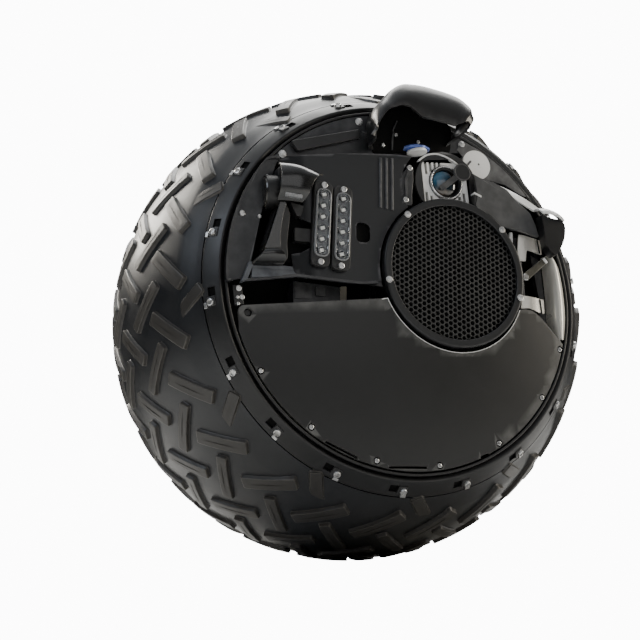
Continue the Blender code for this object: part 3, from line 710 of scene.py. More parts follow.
def build_flange_ring():
    """Ring that clamps the tyre's edge: latch bolts, each with a pocket above and a bright clip beside it."""
    skin = CARCASS - 0.010
    middle = (RING_OUT + RING_IN) / 2
    outline = rounded([(*on_sphere(CARCASS + 0.0004, RING_OUT), 0.003),
                       (*on_sphere(CARCASS + 0.0006, middle), 0.0),
                       (*on_sphere(CARCASS - 0.0016, RING_IN), 0.003), (*on_sphere(skin, RING_IN), 0.001),
                       (*on_sphere(skin, RING_OUT), 0.001)], 0.001)
    ring = pod_piece("flange_ring_band", turned(outline, 216), RING_PAINT, "rolling_shell",
                     "satin_black_paint",
                     ("left_flange_ring",))
    pockets, heads, pads, clips, plates = [], [], [], [], []
    for k in range(RING_BOLTS):
        longitude = FIRST_BOLT + 360 * k / RING_BOLTS
        spot, normal, forward = ring_spot(longitude, middle, CARCASS)
        outwards = normal.cross(forward)
        place = facing(spot - outwards * 0.0015, normal, forward)
        heads.append(moved(screw(0.0056, 0.0046), place @ Matrix.Translation((0.0010, 0, 0))))
        pads.append(moved(block((-0.001, -0.0078, -0.0090), (0.0016, 0.0078, 0.0060)), place))
        clips.append(moved(block((-0.001, -0.0026, -0.0044), (0.0030, 0.0026, 0.0044)),
                           facing(spot - outwards * 0.0118 + forward * 0.0030, normal, forward)))
        pocket = facing(spot - forward * 0.0165 + outwards * 0.0010, normal, forward)
        pockets.append(moved(block((-0.0045, -0.0064, -0.0070), (0.004, 0.0064, 0.0070)), pocket))
        # Near-black plates in the pockets: painted shade.
        plates.append(moved(block((-0.0052, -0.0076, -0.0082), (-0.0030, 0.0076, 0.0082)), pocket))
    carve(ring, pockets)
    pod_piece("ring_bolts", merged(*heads), BOLT, "rolling_shell", "stainless_steel")
    pod_piece("ring_pads", merged(*pads), RING_PAINT, "rolling_shell", "satin_black_paint", bevel=0.0012)
    pod_piece("ring_clips", merged(*clips), BOLT, "rolling_shell", "stainless_steel", bevel=0.0008)
    pod_piece("ring_pocket_floors", merged(*plates), PAINTED_SHADE, "rolling_shell", "black_plastic")


# Side pod


def build_tub():
    """The pod's dished tub, with a near-black sheet on its floor as painted shade."""
    wall = 0.0045
    outer, inner = 0.2975, 0.2930
    outline = rounded([(LIP_X, outer, 0.002), (LIP_X, inner, 0.002), (0.187, inner, 0.012), (0.187, 0.036),
                       (0.205, 0.036), (0.205, 0.0206), (0.1815, 0.0206), (0.1815, outer, 0.010)], 0.0008)
    pod_piece("tub_shell", turned(outline, 180), RING_PAINT, slot="satin_black_paint",
              replaces=("left_pod_tub",))
    low_side = turned(rounded([(0.1878, inner - wall), (0.1878, 0.040), (0.1884, 0.040),
                               (0.1884, inner - wall)],
                              0.0), 96)
    pod_piece("tub_liner", low_side, PAINTED_SHADE)


def cover_depth(y, z):
    """Shallow dome."""
    return LIP_X + COVER_RISE * (1 - (y * y + z * z) / RIM ** 2)


def build_lower_cover():
    """Domed cover below the lamps, scooped out round the speaker."""
    rim = arc((0, 0), COVER_RADIUS, -18.5, -166.5, 120)
    corner = rounded([(-0.2822, -0.0677, 0.0), (-0.2812, -0.0288, 0.010), (-0.160, -0.0262, 0.0)], 0.006)
    top = [(-0.100, -0.0240), (-0.0600, -0.0225), (-0.0520, -0.0226), (-0.0470, -0.0240)]
    scoop = arc(SPEAKER, SCOOP_RADIUS, 199.5, 333.0, 64)
    shoulder = rounded([(0.2000, -0.0375), (0.2050, -0.0360, 0.004), (0.2210, -0.0370, 0.010),
                        (0.2380, -0.0500, 0.01),
                        (0.2745, -0.0860)], 0.004)[5:-5]
    cover = pod_piece("cover_shell", shaped_plate(rim + corner + top + scoop + shoulder, 0.004, cover_depth,
                                                  0.0145),
                      COVER, slot="satin_black_paint", replaces=("left_lower_cover",), angle=40,
                      bevel=0.0012,
                      segments=3)
    # A thin pale strip along the edge of the scoop: a painted highlight on the cover's lit edge.
    line = arc(SPEAKER, 0.1293, 199.0, 333.0, 96)
    edge_highlight_strip = shaped_plate([(-0.0530, -0.0228)] + line + arc(SPEAKER, 0.1303, 333.0, 199.5,
                                                          96) + [(-0.0520, -0.0238)],
                        0.0010, lambda y, z: cover_depth(y, z) + 0.0006)
    pod_piece("cover_edge_trim", edge_highlight_strip, PALE_METAL_AND_HIGHLIGHT, slot="machined_aluminium")
    cuts = []
    for start, end in (((-0.162, -0.2385), (-0.112, -0.2655)), ((-0.062, -0.2815), (0.002, -0.2845)),
                       ((0.097, -0.2725), (0.112, -0.2675))):
        cuts.append(prism(strip(start, end, 0.0036, 0.0016), 0.230, 0.260))
    cuts += [turned_plug([(0.230, 0.0056), (0.270, 0.0056)], 24, place) for place in COVER_SCREWS]
    cuts.append(turned_plug([(0.230, 0.0062), (0.270, 0.0062)], 28, COVER_CORNER_HOLE))
    carve(cover, cuts)
    # The cups are near-black discs behind the screw holes, seen round the heads: painted shade in the holes.
    heads, cups = [], []
    for y, z in COVER_SCREWS:
        face = cover_depth(y, z)
        heads.append(moved(screw(0.0038, 0.0030), Matrix.Translation((face - 0.0030, y, z))))
        cups.append(turned_plug([(face - 0.0060, 0.0075), (face - 0.0034, 0.0075)], 24, (y, z)))
    face = cover_depth(*COVER_CORNER_HOLE)
    cups.append(turned_plug([(face - 0.0060, 0.0085), (face - 0.0034, 0.0085)], 24, COVER_CORNER_HOLE))
    pod_piece("cover_screws", merged(*heads), BOLT, slot="stainless_steel")
    pod_piece("cover_screw_cups", merged(*cups), PAINTED_SHADE)
    nut = moved(screw(0.0048, 0.0016), Matrix.Translation((face - 0.0036, *COVER_CORNER_HOLE)))
    pod_piece("cover_corner_screw", nut, BLACK)


def hexagon(radius):
    return [on_sphere(radius, 60 * k) for k in range(6)]


def build_grille():
    """Hexagonal mesh set inside the flange, its columns leaning a little."""
    pitch, wall, reach = 0.00885, 0.0021, MESH_RADIUS
    step_y, step_z = pitch * math.sqrt(3) / 2, pitch
    lean = Matrix.Rotation(math.radians(-6.9), 2)
    outer_radius, hole_radius = pitch / math.sqrt(3), (pitch - wall) / math.sqrt(3)
    sheet = bmesh.new()
    columns, rows = int(reach / step_y) + 2, int(reach / step_z) + 2
    for column in range(-columns, columns + 1):
        for row in range(-rows, rows + 1):
            centre = lean @ Vector((column * step_y, row * step_z + (step_z / 2 if column % 2 else 0.0)))
            if centre.length > reach - 0.001:
                continue
            outer, hole = [], []
            for ring, radius in ((outer, outer_radius), (hole, hole_radius)):
                for y, z in hexagon(radius):
                    place = centre + lean @ Vector((y, z))
                    ring.append(sheet.verts.new((0, *place)))
            for k in range(6):
                sheet.faces.new((outer[k], outer[(k + 1) % 6], hole[(k + 1) % 6], hole[k]))
    bmesh.ops.remove_doubles(sheet, verts=sheet.verts, dist=0.0003)
    moved(sheet, Matrix.Translation((0.2618, *SPEAKER)))
    grille = pod_piece("speaker_mesh", sheet, MESH_PAINT, replaces=("left_speaker_grille",),
                       slot="black_plastic")
    thicken = grille.modifiers.new("thickness", "SOLIDIFY")
    thicken.thickness = 0.0030
    thicken.offset = -1
    soften = grille.modifiers.new("edge", "BEVEL")
    soften.width = 0.0004
    soften.segments = 2
    soften.limit_method = "ANGLE"
    soften.harden_normals = True
    # A near-black disc behind the mesh: painted shade.
    back = turned_plug([(0.2536, reach + 0.006), (0.2544, reach + 0.006)], 72, SPEAKER)
    pod_piece("speaker_cloth", back, PAINTED_SHADE)


def build_speaker():
    """Speaker mesh, flange, can, nuts and the cowl beside it."""
    build_grille()
    outline = rounded([(0.2660, MESH_RADIUS, 0.0012), (0.2660, FLANGE_RADIUS - 0.0020, 0.0016),
                       (0.2640, FLANGE_RADIUS, 0.0014), (0.2545, FLANGE_RADIUS), (0.2545, MESH_RADIUS)],
                      0.0006)
    pod_piece("speaker_ring", turned(outline, 144, SPEAKER), GREY, slot="dark_grey_plate",
                       replaces=("left_speaker_flange",))
    bucket = rounded([(0.2538, 0.1170, 0.001), (0.2538, 0.1205, 0.001), (0.2150, 0.1205), (0.2150, 0.1170)],
                     0.0006)
    pod_piece("speaker_bucket", turned(bucket, 120, SPEAKER), SATIN, slot="satin_black_paint")
    heads = []
    for degrees in (128.0, 186.5, 37.5, -20.5):
        y = SPEAKER[0] + 0.1190 * math.cos(math.radians(degrees))
        z = SPEAKER[1] + 0.1190 * math.sin(math.radians(degrees))
        heads.append(moved(hex_nut(0.0044, 0.0036), Matrix.Translation((0.2655, y, z))))
    pod_piece("speaker_nuts", merged(*heads), BOLT, slot="stainless_steel")
    cowl_outline = (arc(SPEAKER, 0.1262, 135, 190, 14)
                    + [(-0.074, 0.006), (-0.078, 0.012), (-0.070, 0.045), (-0.052, 0.075), (-0.022, 0.104)])
    pod_piece("speaker_cowl", shaped_plate(rounded(cowl_outline, 0.001), 0.004,
                                           lambda y,
                                           z: 0.2525 - 0.35
                                           * max(0.0, math.hypot(y - SPEAKER[0], z - SPEAKER[1])
                                                                            - 0.128), 0.01),
              SATIN, slot="satin_black_paint", bevel=0.0008)


def light_plate_depth(y, z):
    """The light plate is flat, and leans back towards the forward lamp."""
    return PLATE_X - 0.35 * max(0.0, -0.155 - y)


def build_light_plate():
    """Bent sheet behind the lamps, with pressed ribs, a slot, a lip and cable clamps."""
    lamp_side = [(-0.1873, 0.0152, 0.003), (-0.1887, 0.0520, 0.002), (-0.1740, 0.0530, 0.002),
                 (-0.1560, 0.0620, 0.004),
                 (-0.1500, 0.0960, 0.004), (-0.1725, 0.1085, 0.003), (-0.1661, 0.1279, 0.003),
                 (-0.1480, 0.1579, 0.004),
                 (-0.1363, 0.1732, 0.004), (-0.1900, 0.1890), (-0.1960, 0.2070, 0.003), (-0.1630, 0.2100),
                 (-0.1290, 0.2130), (-0.0860, 0.2162), (-0.0420, 0.2182), (0.0020, 0.2188),
                 (0.0330, 0.2172, 0.004)]
    around_camera = [(0.0240, 0.2080, 0.01), (0.0110, 0.1900, 0.01), (0.0060, 0.1650, 0.02),
                     (0.0120, 0.1420, 0.004)]
    around_speaker = arc(SPEAKER, 0.1275, 121.0, 186.0, 18)
    outline = rounded(lamp_side + around_camera, 0.0) + around_speaker + rounded(
        [(-0.053, 0.0060), (-0.079, 0.0040), (-0.109, 0.0067), (-0.150, 0.0110)], 0.003)
    plate = pod_piece("lamp_plate", shaped_plate(outline, 0.003, light_plate_depth, 0.0062), PLATE_PAINT,
                      slot="dark_grey_plate", replaces=("left_light_plate",), angle=24, bevel=0.0011,
                      segments=3)
    slot = rounded([(-0.0830, 0.0700), (-0.0590, 0.0690), (-0.0560, 0.0990), (-0.0790, 0.1045)], 0.010, 6)
    carve(plate, [prism(slot, 0.24, 0.27)])
    # A near-black sheet seen through the slot: painted shade.
    pod_piece("lamp_plate_slot", slab([(-0.090, 0.066), (-0.052, 0.064), (-0.048, 0.104), (-0.086, 0.110)],
                                               0.005, 0.2460, 0.2500), PAINTED_SHADE)
    ridges = [prism(strip((-0.0350 + 0.0100 * k, 0.1270 - 0.0020 * k), (-0.0250 + 0.0100 * k, 0.2120),
                          0.0052, 0.0020),
                    PLATE_X - 0.001, PLATE_X + 0.0022) for k in range(3)]
    pod_piece("lamp_plate_ridges", merged(*ridges), PLATE_PAINT, slot="dark_grey_plate", bevel=0.0016,
              segments=3)
    lip = slab([(-0.2705, 0.0072), (-0.2690, 0.0112), (-0.1880, 0.0172), (-0.1100, 0.0088),
                (-0.0800, 0.0058),
                         (-0.0530, 0.0078), (-0.0530, 0.0040), (-0.0800, 0.0020), (-0.1100, 0.0045),
                         (-0.1880, 0.0128)], 0.001, 0.2520, 0.2572)
    for vertex in lip.verts:
        vertex.co.x -= 0.10 * max(0.0, -0.188 - vertex.co.y)
    pod_piece("lamp_plate_lip", lip, PLATE_PAINT, bevel=0.0008)
    blocks = merged(slab([(-0.1885, 0.1304), (-0.1664, 0.1250), (-0.1731, 0.1083), (-0.1800, 0.1085)],
                         0.002,
                          0.2440, 0.2600),
                    slab([(-0.1848, 0.0902), (-0.1480, 0.0879), (-0.1500, 0.0669), (-0.1869, 0.0693)],
                         0.002,
                          0.2440, 0.2585))
    pod_piece("lamp_cable_clamps", blocks, BLACK, bevel=0.0014)
    # A near-black sheet behind the lamps: painted shade.
    well = prism([(-0.2000, 0.0400), (-0.1400, 0.0400), (-0.1300, 0.1700), (-0.2000, 0.1700)], 0.2380,
                 0.2400)
    pod_piece("lamp_well", well, PAINTED_SHADE)


def build_led_bar(label, start, end, node):
    """Six lamps in a slanted bar: base, tray, reflectors, chips, lens and its two screws."""
    start, end = Vector(start), Vector(end)
    along = (end - start).normalized()
    base = prism(strip(start, end, 0.0315, 0.012), 0.2562, 0.2650)
    pod_piece(f"{label}_lamp_base", base, BLACK, replaces=(f"left_{node}",), bevel=0.0014)
    lens_start, lens_end = start + along * 0.0160, end - along * 0.0130
    tray = prism(strip(lens_start, lens_end, 0.0225, 0.010), 0.2630, 0.2656)
    pod_piece(f"{label}_lamp_tray", tray, LAMP_TRAY, slot="machined_aluminium", bevel=0.0005)
    rim = pod_piece(f"{label}_lamp_rim", prism(strip(lens_start - along * 0.001, lens_end + along * 0.001,
                                                     0.0250, 0.012),
                                               0.2640, 0.2690), LAMP_RIM, slot="lamp_lens", bevel=0.0012,
                    segments=3)
    carve(rim, [prism(strip(lens_start + along * 0.0022, lens_end - along * 0.0022, 0.0186, 0.008), 0.26,
                      0.27)])
    cups, chips, domes = [], [], []
    for k in range(LAMPS_PER_BAR):
        spot = lens_start.lerp(lens_end, (k + 0.5) / LAMPS_PER_BAR)
        cups.append(turned(rounded([(0.2655, 0.0034), (0.2690, 0.0058), (0.2690, 0.0066), (0.2655, 0.0066)],
                                   0.0003),
                           24, spot))
        chips.append(moved(block((0.2650, -0.0034, -0.0026), (0.2676, 0.0034, 0.0026)),
                           Matrix.Translation((0, *spot)) @ Matrix.Rotation(math.radians(12), 4, "X")))
        domes.append(turned_plug([(0.2674, 0.0024), (0.2690, 0.0022), (0.2698, 0.0012)], 16, spot))
    pod_piece(f"{label}_lamp_cups", merged(*cups), LAMP_RIM, slot="bright_chrome")
    pod_piece(f"{label}_lamp_chips", merged(*chips), LED, slot="lamp_lens", bevel=0.0005)
    pod_piece(f"{label}_lamp_domes", merged(*domes), CLEAR, slot="lamp_lens")
    cover = prism(strip(lens_start + along * 0.0024, lens_end - along * 0.0024, 0.0180, 0.0078), 0.2660,
                  0.2716)
    pod_piece(f"{label}_lamp_lens", cover, CLEAR, slot="lamp_lens", bevel=0.0016, segments=3)
    heads = [moved(screw(0.0050, 0.0034), Matrix.Translation((0.2646, *spot))) for spot in
             (start + along * 0.0070, end - along * 0.0062)]
    pod_piece(f"{label}_lamp_screws", merged(*heads), BOLT, slot="stainless_steel")


def build_wing():
    """Side panel with a raised rim along its outer edge, and the shelf below the front lamp."""
    outer = arc((0, 0), WING_RADIUS, 177.2, 136.0, 60) + [(-0.2060, 0.2095), (-0.1935, 0.2100)]
    low = rounded([(-0.2870, 0.0072, 0.003), (-0.2980, 0.0072, 0.008)] + [(*outer[1], 0.0)], 0.003)[:-1]
    inner = [(-0.2000, 0.1990), (-0.2310, 0.1200), (-0.2560, 0.0380), (-0.2700, 0.0072)]
    sheet = prism(outer[1:] + rounded([(*p, 0.006) for p in inner], 0.0) + low, 0.2425, 0.2455)
    pod_piece("wing_sheet", sheet, PLATE_PAINT, slot="satin_black_paint", replaces=("left_wing_plate",),
              bevel=0.0008)
    edge = [Vector(p) for p in low + outer[1:]]
    inside = []
    for k, point in enumerate(edge):
        ahead, behind = edge[min(k + 1, len(edge) - 1)], edge[max(k - 1, 0)]
        run = (ahead - behind).normalized()
        inside.append(point + Vector((run.y, -run.x)) * 0.0040)
    rim = prism([tuple(p) for p in edge] + [tuple(p) for p in reversed(inside)], 0.2430, 0.2490)
    pod_piece("wing_rim", rim, GREY, slot="satin_black_paint", bevel=0.0018, segments=3)
    heads = [moved(screw(size, 0.0030), Matrix.Translation((0.2452, y, z)))
             for y, z, size in ((-0.2635, 0.1150, 0.0046), (-0.2170, 0.1765, 0.0026),
                                (-0.2359, 0.1107, 0.0030))]
    pod_piece("wing_screws", merged(*heads), BOLT, slot="stainless_steel")
    cheek = slab([(-0.2610, 0.0370), (-0.2535, 0.0355), (-0.2675, 0.0078), (-0.2765, 0.0055)], 0.0015,
                 0.2420, 0.2535)
    face = slab([(-0.2570, 0.0275), (-0.1908, 0.0245), (-0.1870, 0.0150), (-0.2605, 0.0115)], 0.0015,
                0.2400, 0.2550)
    step = slab([(-0.2560, 0.0345), (-0.1914, 0.0300), (-0.1900, 0.0240), (-0.2570, 0.0275)], 0.001, 0.2400,
                0.2515)
    for vertex in face.verts:
        if vertex.co.x > 0.25 and vertex.co.z > 0.02:
            vertex.co.x -= 0.0028
    pod_piece("wing_shelf", merged(cheek, face, step), SHELF_LIT_PAINT, bevel=0.0008)


def build_front_hood():
    """Rolled visor over the forward lamp, its face curved like part of a barrel."""
    rows = [[(0.2650, -0.2050, 0.1925), (0.2670, -0.1770, 0.1900), (0.2655, -0.1480, 0.1835),
             (0.2635, -0.1300, 0.1765)],
            [(0.2790, -0.2068, 0.1860), (0.2815, -0.1800, 0.1835), (0.2790, -0.1570, 0.1775),
             (0.2760, -0.1405, 0.1715)],
            [(0.2870, -0.2085, 0.1710), (0.2885, -0.1850, 0.1690), (0.2870, -0.1650, 0.1655),
             (0.2840, -0.1510, 0.1620)],
            [(0.2885, -0.2110, 0.1540), (0.2890, -0.1930, 0.1520), (0.2880, -0.1750, 0.1500),
             (0.2850, -0.1608, 0.1480)],
            [(0.2850, -0.2140, 0.1390), (0.2855, -0.1980, 0.1380), (0.2850, -0.1810, 0.1365),
             (0.2820, -0.1660, 0.1350)],
            [(0.2760, -0.2155, 0.1270), (0.2765, -0.2010, 0.1265), (0.2760, -0.1880, 0.1258),
             (0.2740, -0.1740, 0.1250)]]
    hood = sheet_from(smooth_grid(rows, 28, 24), 0.0032)
    pod_piece("lamp_hood", hood, GLOSS, slot="satin_black_paint", replaces=("left_front_hood",),
              bevel=0.0009, angle=45)
    side = slab([(-0.2130, 0.1310), (-0.2080, 0.1500), (-0.2040, 0.1880), (-0.1500, 0.1790),
                 (-0.1700, 0.1380)],
                         0.006, 0.2400, 0.2730)
    for vertex in side.verts:
        if vertex.co.x > 0.26 and vertex.co.z > 0.175:
            vertex.co.x -= 0.012
    pod_piece("lamp_hood_core", side, BLACK, bevel=0.0015)
    bar = slab([(-0.2058, 0.1373), (-0.1785, 0.1335), (-0.1790, 0.1275), (-0.2048, 0.1312)], 0.0012, 0.2800,
               0.2868)
    pod_piece("lamp_hood_bar", bar, LAMP_RIM, slot="machined_aluminium", bevel=0.0010)


def build_headlamp():
    """Tapered lamp stalk that widens to a rounded foot, and the forward-facing lamp beside it."""
    back = slab([(-0.2070, 0.1330), (-0.1930, 0.1255), (-0.1897, 0.1110), (-0.1990, 0.0660),
                 (-0.2000, 0.0420),
                          (-0.2090, 0.0310), (-0.2400, 0.0330), (-0.2346, 0.0654), (-0.2179, 0.1054)],
                0.003, 0.2300, 0.2590)
    pod_piece("stalk_back", back, BLACK, replaces=("left_headlamp",), bevel=0.0016)
    front = slab([(-0.2070, 0.1325), (-0.1990, 0.1255, 0.004), (-0.2068, 0.1040), (-0.2135, 0.0750),
                           (-0.2145, 0.0545), (-0.2400, 0.0530), (-0.2340, 0.0660), (-0.2175, 0.1060)],
                 0.002, 0.2500, 0.2700)
    for vertex in front.verts:
        if vertex.co.x > 0.26:
            vertex.co.x += 0.05 * (vertex.co.z - 0.090)
    pod_piece("stalk_face", front, GLOSS, slot="dark_grey_plate", bevel=0.0022, segments=4)
    rows = [[(0.2680, -0.2405, 0.0520), (0.2690, -0.2290, 0.0530), (0.2680, -0.2135, 0.0535)],
            [(0.2700, -0.2440, 0.0470), (0.2712, -0.2290, 0.0475), (0.2690, -0.2110, 0.0480)],
            [(0.2680, -0.2500, 0.0400), (0.2690, -0.2300, 0.0400), (0.2670, -0.2060, 0.0410)],
            [(0.2600, -0.2560, 0.0340), (0.2610, -0.2300, 0.0335), (0.2590, -0.2060, 0.0340)],
            [(0.2500, -0.2585, 0.0305), (0.2510, -0.2300, 0.0300), (0.2500, -0.2090, 0.0300)]]
    pod_piece("stalk_foot", sheet_from(smooth_grid(rows, 18, 12), 0.0040), GLOSS, slot="dark_grey_plate",
              bevel=0.0010,
              angle=45)
    lens = turned_plug([(0, 0.0245), (0.006, 0.0245), (0.0085, 0.0225), (0.0100, 0.0150), (0.0105, 0.0050)],
                       48)
    place = facing((0.2460, -0.2165, 0.1495), (-0.13, -0.98, 0.05))
    pod_piece("front_lens", moved(lens, place), GLOSS, slot="lamp_lens")
    rim = turned(rounded([(-0.012, 0.0248), (0.0072, 0.0248), (0.0072, 0.0272), (-0.012, 0.0272)], 0.0008),
                 56)
    pod_piece("front_lens_rim", moved(rim, place), BLACK)


def build_radio_box():
    """Electronics box that shows in the gap above the lower cover."""
    body = slab([(-0.1779, 0.0185), (-0.0999, 0.0089), (-0.1021, -0.0200), (-0.1820, -0.0200)], 0.0025,
                0.1900,
                 0.2150)
    pod_piece("radio_box", body, PLATE_PAINT, slot="dark_grey_plate", bevel=0.0012)
    lid = slab([(-0.1760, 0.0170), (-0.1475, 0.0135), (-0.1490, -0.0110), (-0.1785, -0.0105)], 0.002,
               0.2100,
                0.2162)
    pod_piece("radio_box_lid", lid, GREY, slot="dark_grey_plate", bevel=0.0008)
    button = slab([(-0.1424, 0.0084), (-0.1262, 0.0066), (-0.1273, -0.0076), (-0.1435, -0.0062)], 0.0025,
                  0.2130,
                   0.2178)
    pod_piece("radio_box_button", button, GREY, bevel=0.0012)
    plug = slab([(-0.0990, 0.0100), (-0.0877, 0.0107), (-0.0902, -0.0121), (-0.1020, -0.0120)], 0.002,
                0.1950,
                 0.2140)
    pod_piece("radio_box_plug", plug, BEIGE, bevel=0.0015)


def build_upper_panel():
    """Panel above the lamps, with its long raised bar and the curved seam that runs up to the visor."""
    outline = arc((0, 0), RIM, 133.0, 56.0, 60) + [(0.1500, 0.2350), (0.1000, 0.2330), (-0.1900, 0.2120)]
    pod_piece("upper_sheet", slab([(*p, 0.0 if k < 61 else 0.004) for k, p in enumerate(outline)], 0.003,
                                   0.2340, 0.2385), PLATE_PAINT, slot="satin_black_paint",
              replaces=("left_upper_panel",), bevel=0.0010)
    bar = slab([(-0.172, 0.2370), (-0.052, 0.2625), (-0.050, 0.2480), (-0.162, 0.2200)], 0.004, 0.2370,
               0.2480)
    pod_piece("upper_bar", bar, SATIN, slot="satin_black_paint", bevel=0.0036, segments=4)
    seam = [(-0.0432, 0.2635), (-0.0281, 0.2566), (-0.0129, 0.2497), (-0.0065, 0.2431)]
    ribbon = rounded(seam + [(y - 0.0012, z - 0.0022) for y, z in reversed(seam)], 0.0)
    pod_piece("upper_seam", prism(ribbon, 0.2370, 0.2395), GREY, slot="dark_grey_plate", bevel=0.0005)
    heads = [moved(hex_nut(0.0052, 0.0036), Matrix.Translation((0.2383, y, z)))
             for y, z in ((-0.0468, 0.2790), (-0.1850, 0.2176), (0.1359, 0.2491))]
    pod_piece("upper_nuts", merged(*heads), BOLT, slot="stainless_steel")


def build_camera():
    """Finned camera in a round surround, with its lens ring, glass and side ear."""
    y, z = CAMERA
    ring = pod_piece("camera_surround", prism(arc(CAMERA, 0.0555, 0, 354, 59), 0.2455, 0.2500), GREY,
                     slot="dark_grey_plate", replaces=("left_camera_housing",), bevel=0.0016, segments=3)
    carve(ring, [prism(rounded([(y - 0.0425, z - 0.0420), (y + 0.0420, z - 0.0420),
                                (y + 0.0430, z + 0.0300),
                                (y + 0.0150, z + 0.0430), (y - 0.0410, z + 0.0400)], 0.014, 6), 0.24,
                       0.26)])
    tube = turned(rounded([(0.2455, 0.0520), (0.2455, 0.0545), (0.2100, 0.0545), (0.2100, 0.0520)], 0.0005),
                  72, CAMERA)
    pod_piece("camera_can", tube, BLACK)
    # The brow is a pale arc over the surround: a painted highlight on the surround's lit upper edge.
    brow = [Vector(p) for p in smooth_line([(0.0440, 0.2130), (0.0595, 0.2235), (0.0780, 0.2268),
                                            (0.0960, 0.2222),
                                            (0.1130, 0.2125), (0.1235, 0.2035)], 28)]
    inside = [CAMERA_POINT + (p - CAMERA_POINT) * 0.945 for p in brow]
    pod_piece("camera_brow", prism([tuple(p) for p in brow] + [tuple(p) for p in reversed(inside)], 0.2450,
                                   0.2525),
              PALE_METAL_AND_HIGHLIGHT, slot="machined_aluminium", bevel=0.0012)
    face = slab([(0.0485, 0.1390), (0.1300, 0.1390), (0.1300, 0.2110), (0.0490, 0.2110)], 0.007, 0.2200,
                0.2485)
    front = pod_piece("camera_fins", face, PALE_METAL_AND_HIGHLIGHT, slot="machined_aluminium", bevel=0.0007)
    cuts = [turned_plug([(0.2300, 0.0305), (0.2520, 0.0305)], 56, LENS)]
    for k in range(4):
        left = 0.0562 + k * 0.0084
        cuts.append(block((0.2300, left, 0.1905 + k * 0.0046), (0.2520, left + 0.0046, 0.2150)))
    for k in range(3):
        left = 0.0520 + k * 0.0084
        cuts.append(block((0.2300, left, 0.1300), (0.2520, left + 0.0046, 0.1600 - k * 0.0060)))
        right = 0.1020 + k * 0.0088
        cuts.append(block((0.2300, right, 0.1300), (0.2520, right + 0.0048, 0.1480 + k * 0.0060)))
    for cut in cuts:
        carve(front, [cut])
    # A near-black block behind the fins' slots: painted shade.
    pod_piece("camera_floor", prism([(0.0440, 0.1340), (0.1340, 0.1340), (0.1340, 0.2160),
                                     (0.0440, 0.2160)], 0.2180,
                                    0.2350), PAINTED_SHADE)
    ring = turned(rounded([(0.2360, 0.0262), (0.2515, 0.0262), (0.2528, 0.0272), (0.2515, 0.0286),
                           (0.2360, 0.0286)],
                          0.0008), 72, LENS)
    pod_piece("lens_ring", ring, CHROME, slot="bright_chrome")
    throat = turned(rounded([(0.2350, 0.0228), (0.2478, 0.0228), (0.2500, 0.0256), (0.2350, 0.0259)],
                            0.0005), 64, LENS)
    pod_piece("lens_throat", throat, BLACK)
    dome = [(0.2380, 0.0226), (0.2430, 0.0226)]
    dome += [(0.2430 + 0.0085 * math.sin(math.radians(a)),
              0.0226 * math.cos(math.radians(a))) for a in range(10, 86, 9)]
    pod_piece("lens_glass", turned_plug(dome, 64, LENS), GLASS, slot="lamp_lens")
    ear = rounded([(0.0320, 0.2010, 0.004), (0.0150, 0.1930, 0.010), (0.0055, 0.1760, 0.012),
                   (0.0027, 0.1505, 0.010),
                   (0.0040, 0.1340, 0.004), (0.0225, 0.1330, 0.004), (0.0245, 0.1520, 0.012),
                   (0.0300, 0.1770, 0.010)],
                  0.004)
    pod_piece("camera_ear", prism(ear, 0.2495, 0.2555), GREY, slot="dark_grey_plate", bevel=0.0022,
              segments=3)
    rib = slab([(0.0210, 0.1930), (0.0130, 0.1760), (0.0110, 0.1480), (0.0150, 0.1480), (0.0172, 0.1745),
                         (0.0245, 0.1905)], 0.001, 0.2545, 0.2580)
    pod_piece("camera_ear_rib", rib, GREY, bevel=0.0010)
    heads = [moved(screw(0.0048, 0.0036),
                   Matrix.Translation((0.2552, *spot))) for spot in ((0.0245, 0.1965),
                                                                                          (0.0108, 0.1425))]
    pod_piece("camera_ear_screws", merged(*heads), BOLT, slot="stainless_steel")
    clip = merged(slab([(0.1345, 0.1560), (0.1455, 0.1500), (0.1436, 0.1345), (0.1325, 0.1341)], 0.0015,
                       0.2480,
                        0.2610),
                  block((0.2480, 0.1335, 0.1200), (0.2560, 0.1365, 0.1380)))
    pod_piece("camera_clip", clip, BLACK, bevel=0.0012)
    # A pale cap on top of the black clip: painted light on its lit top.
    lid = slab([(0.1340, 0.1582), (0.1470, 0.1520), (0.1462, 0.1488), (0.1336, 0.1550)], 0.001, 0.2500,
               0.2625)
    pod_piece("camera_clip_top", lid, PALE_METAL_AND_HIGHLIGHT, slot="machined_aluminium", bevel=0.0008)


def build_wiper():
    """The wiper's cap, arm and blade."""
    cap = turned_plug([(0.2534, 0.0060), (0.2566, 0.0060), (0.2568, 0.0146), (0.2600, 0.0150),
                       (0.2612, 0.0143),
                       (0.2614, 0.0132), (0.2606, 0.0124), (0.2606, 0.0010)], 48, WIPER_PIVOT)
    pod_piece("wiper_cap", cap, GREY, "left_wiper", "dark_grey_plate", ("left_wiper",))
    arm = prism(strip(WIPER_PIVOT, WIPER_TIP, 0.0100, 0.0035), 0.2572, 0.2600)
    pod_piece("wiper_arm", arm, GREY, "left_wiper", "dark_grey_plate", bevel=0.0008)
    pivot, tip = Vector(WIPER_PIVOT), Vector(WIPER_TIP)
    blade = prism(strip(pivot.lerp(tip, 0.35), tip, 0.0026, 0.0008), 0.2538, 0.2575)
    pod_piece("wiper_blade", blade, BLACK, "left_wiper", "black_plastic", bevel=0.0004)


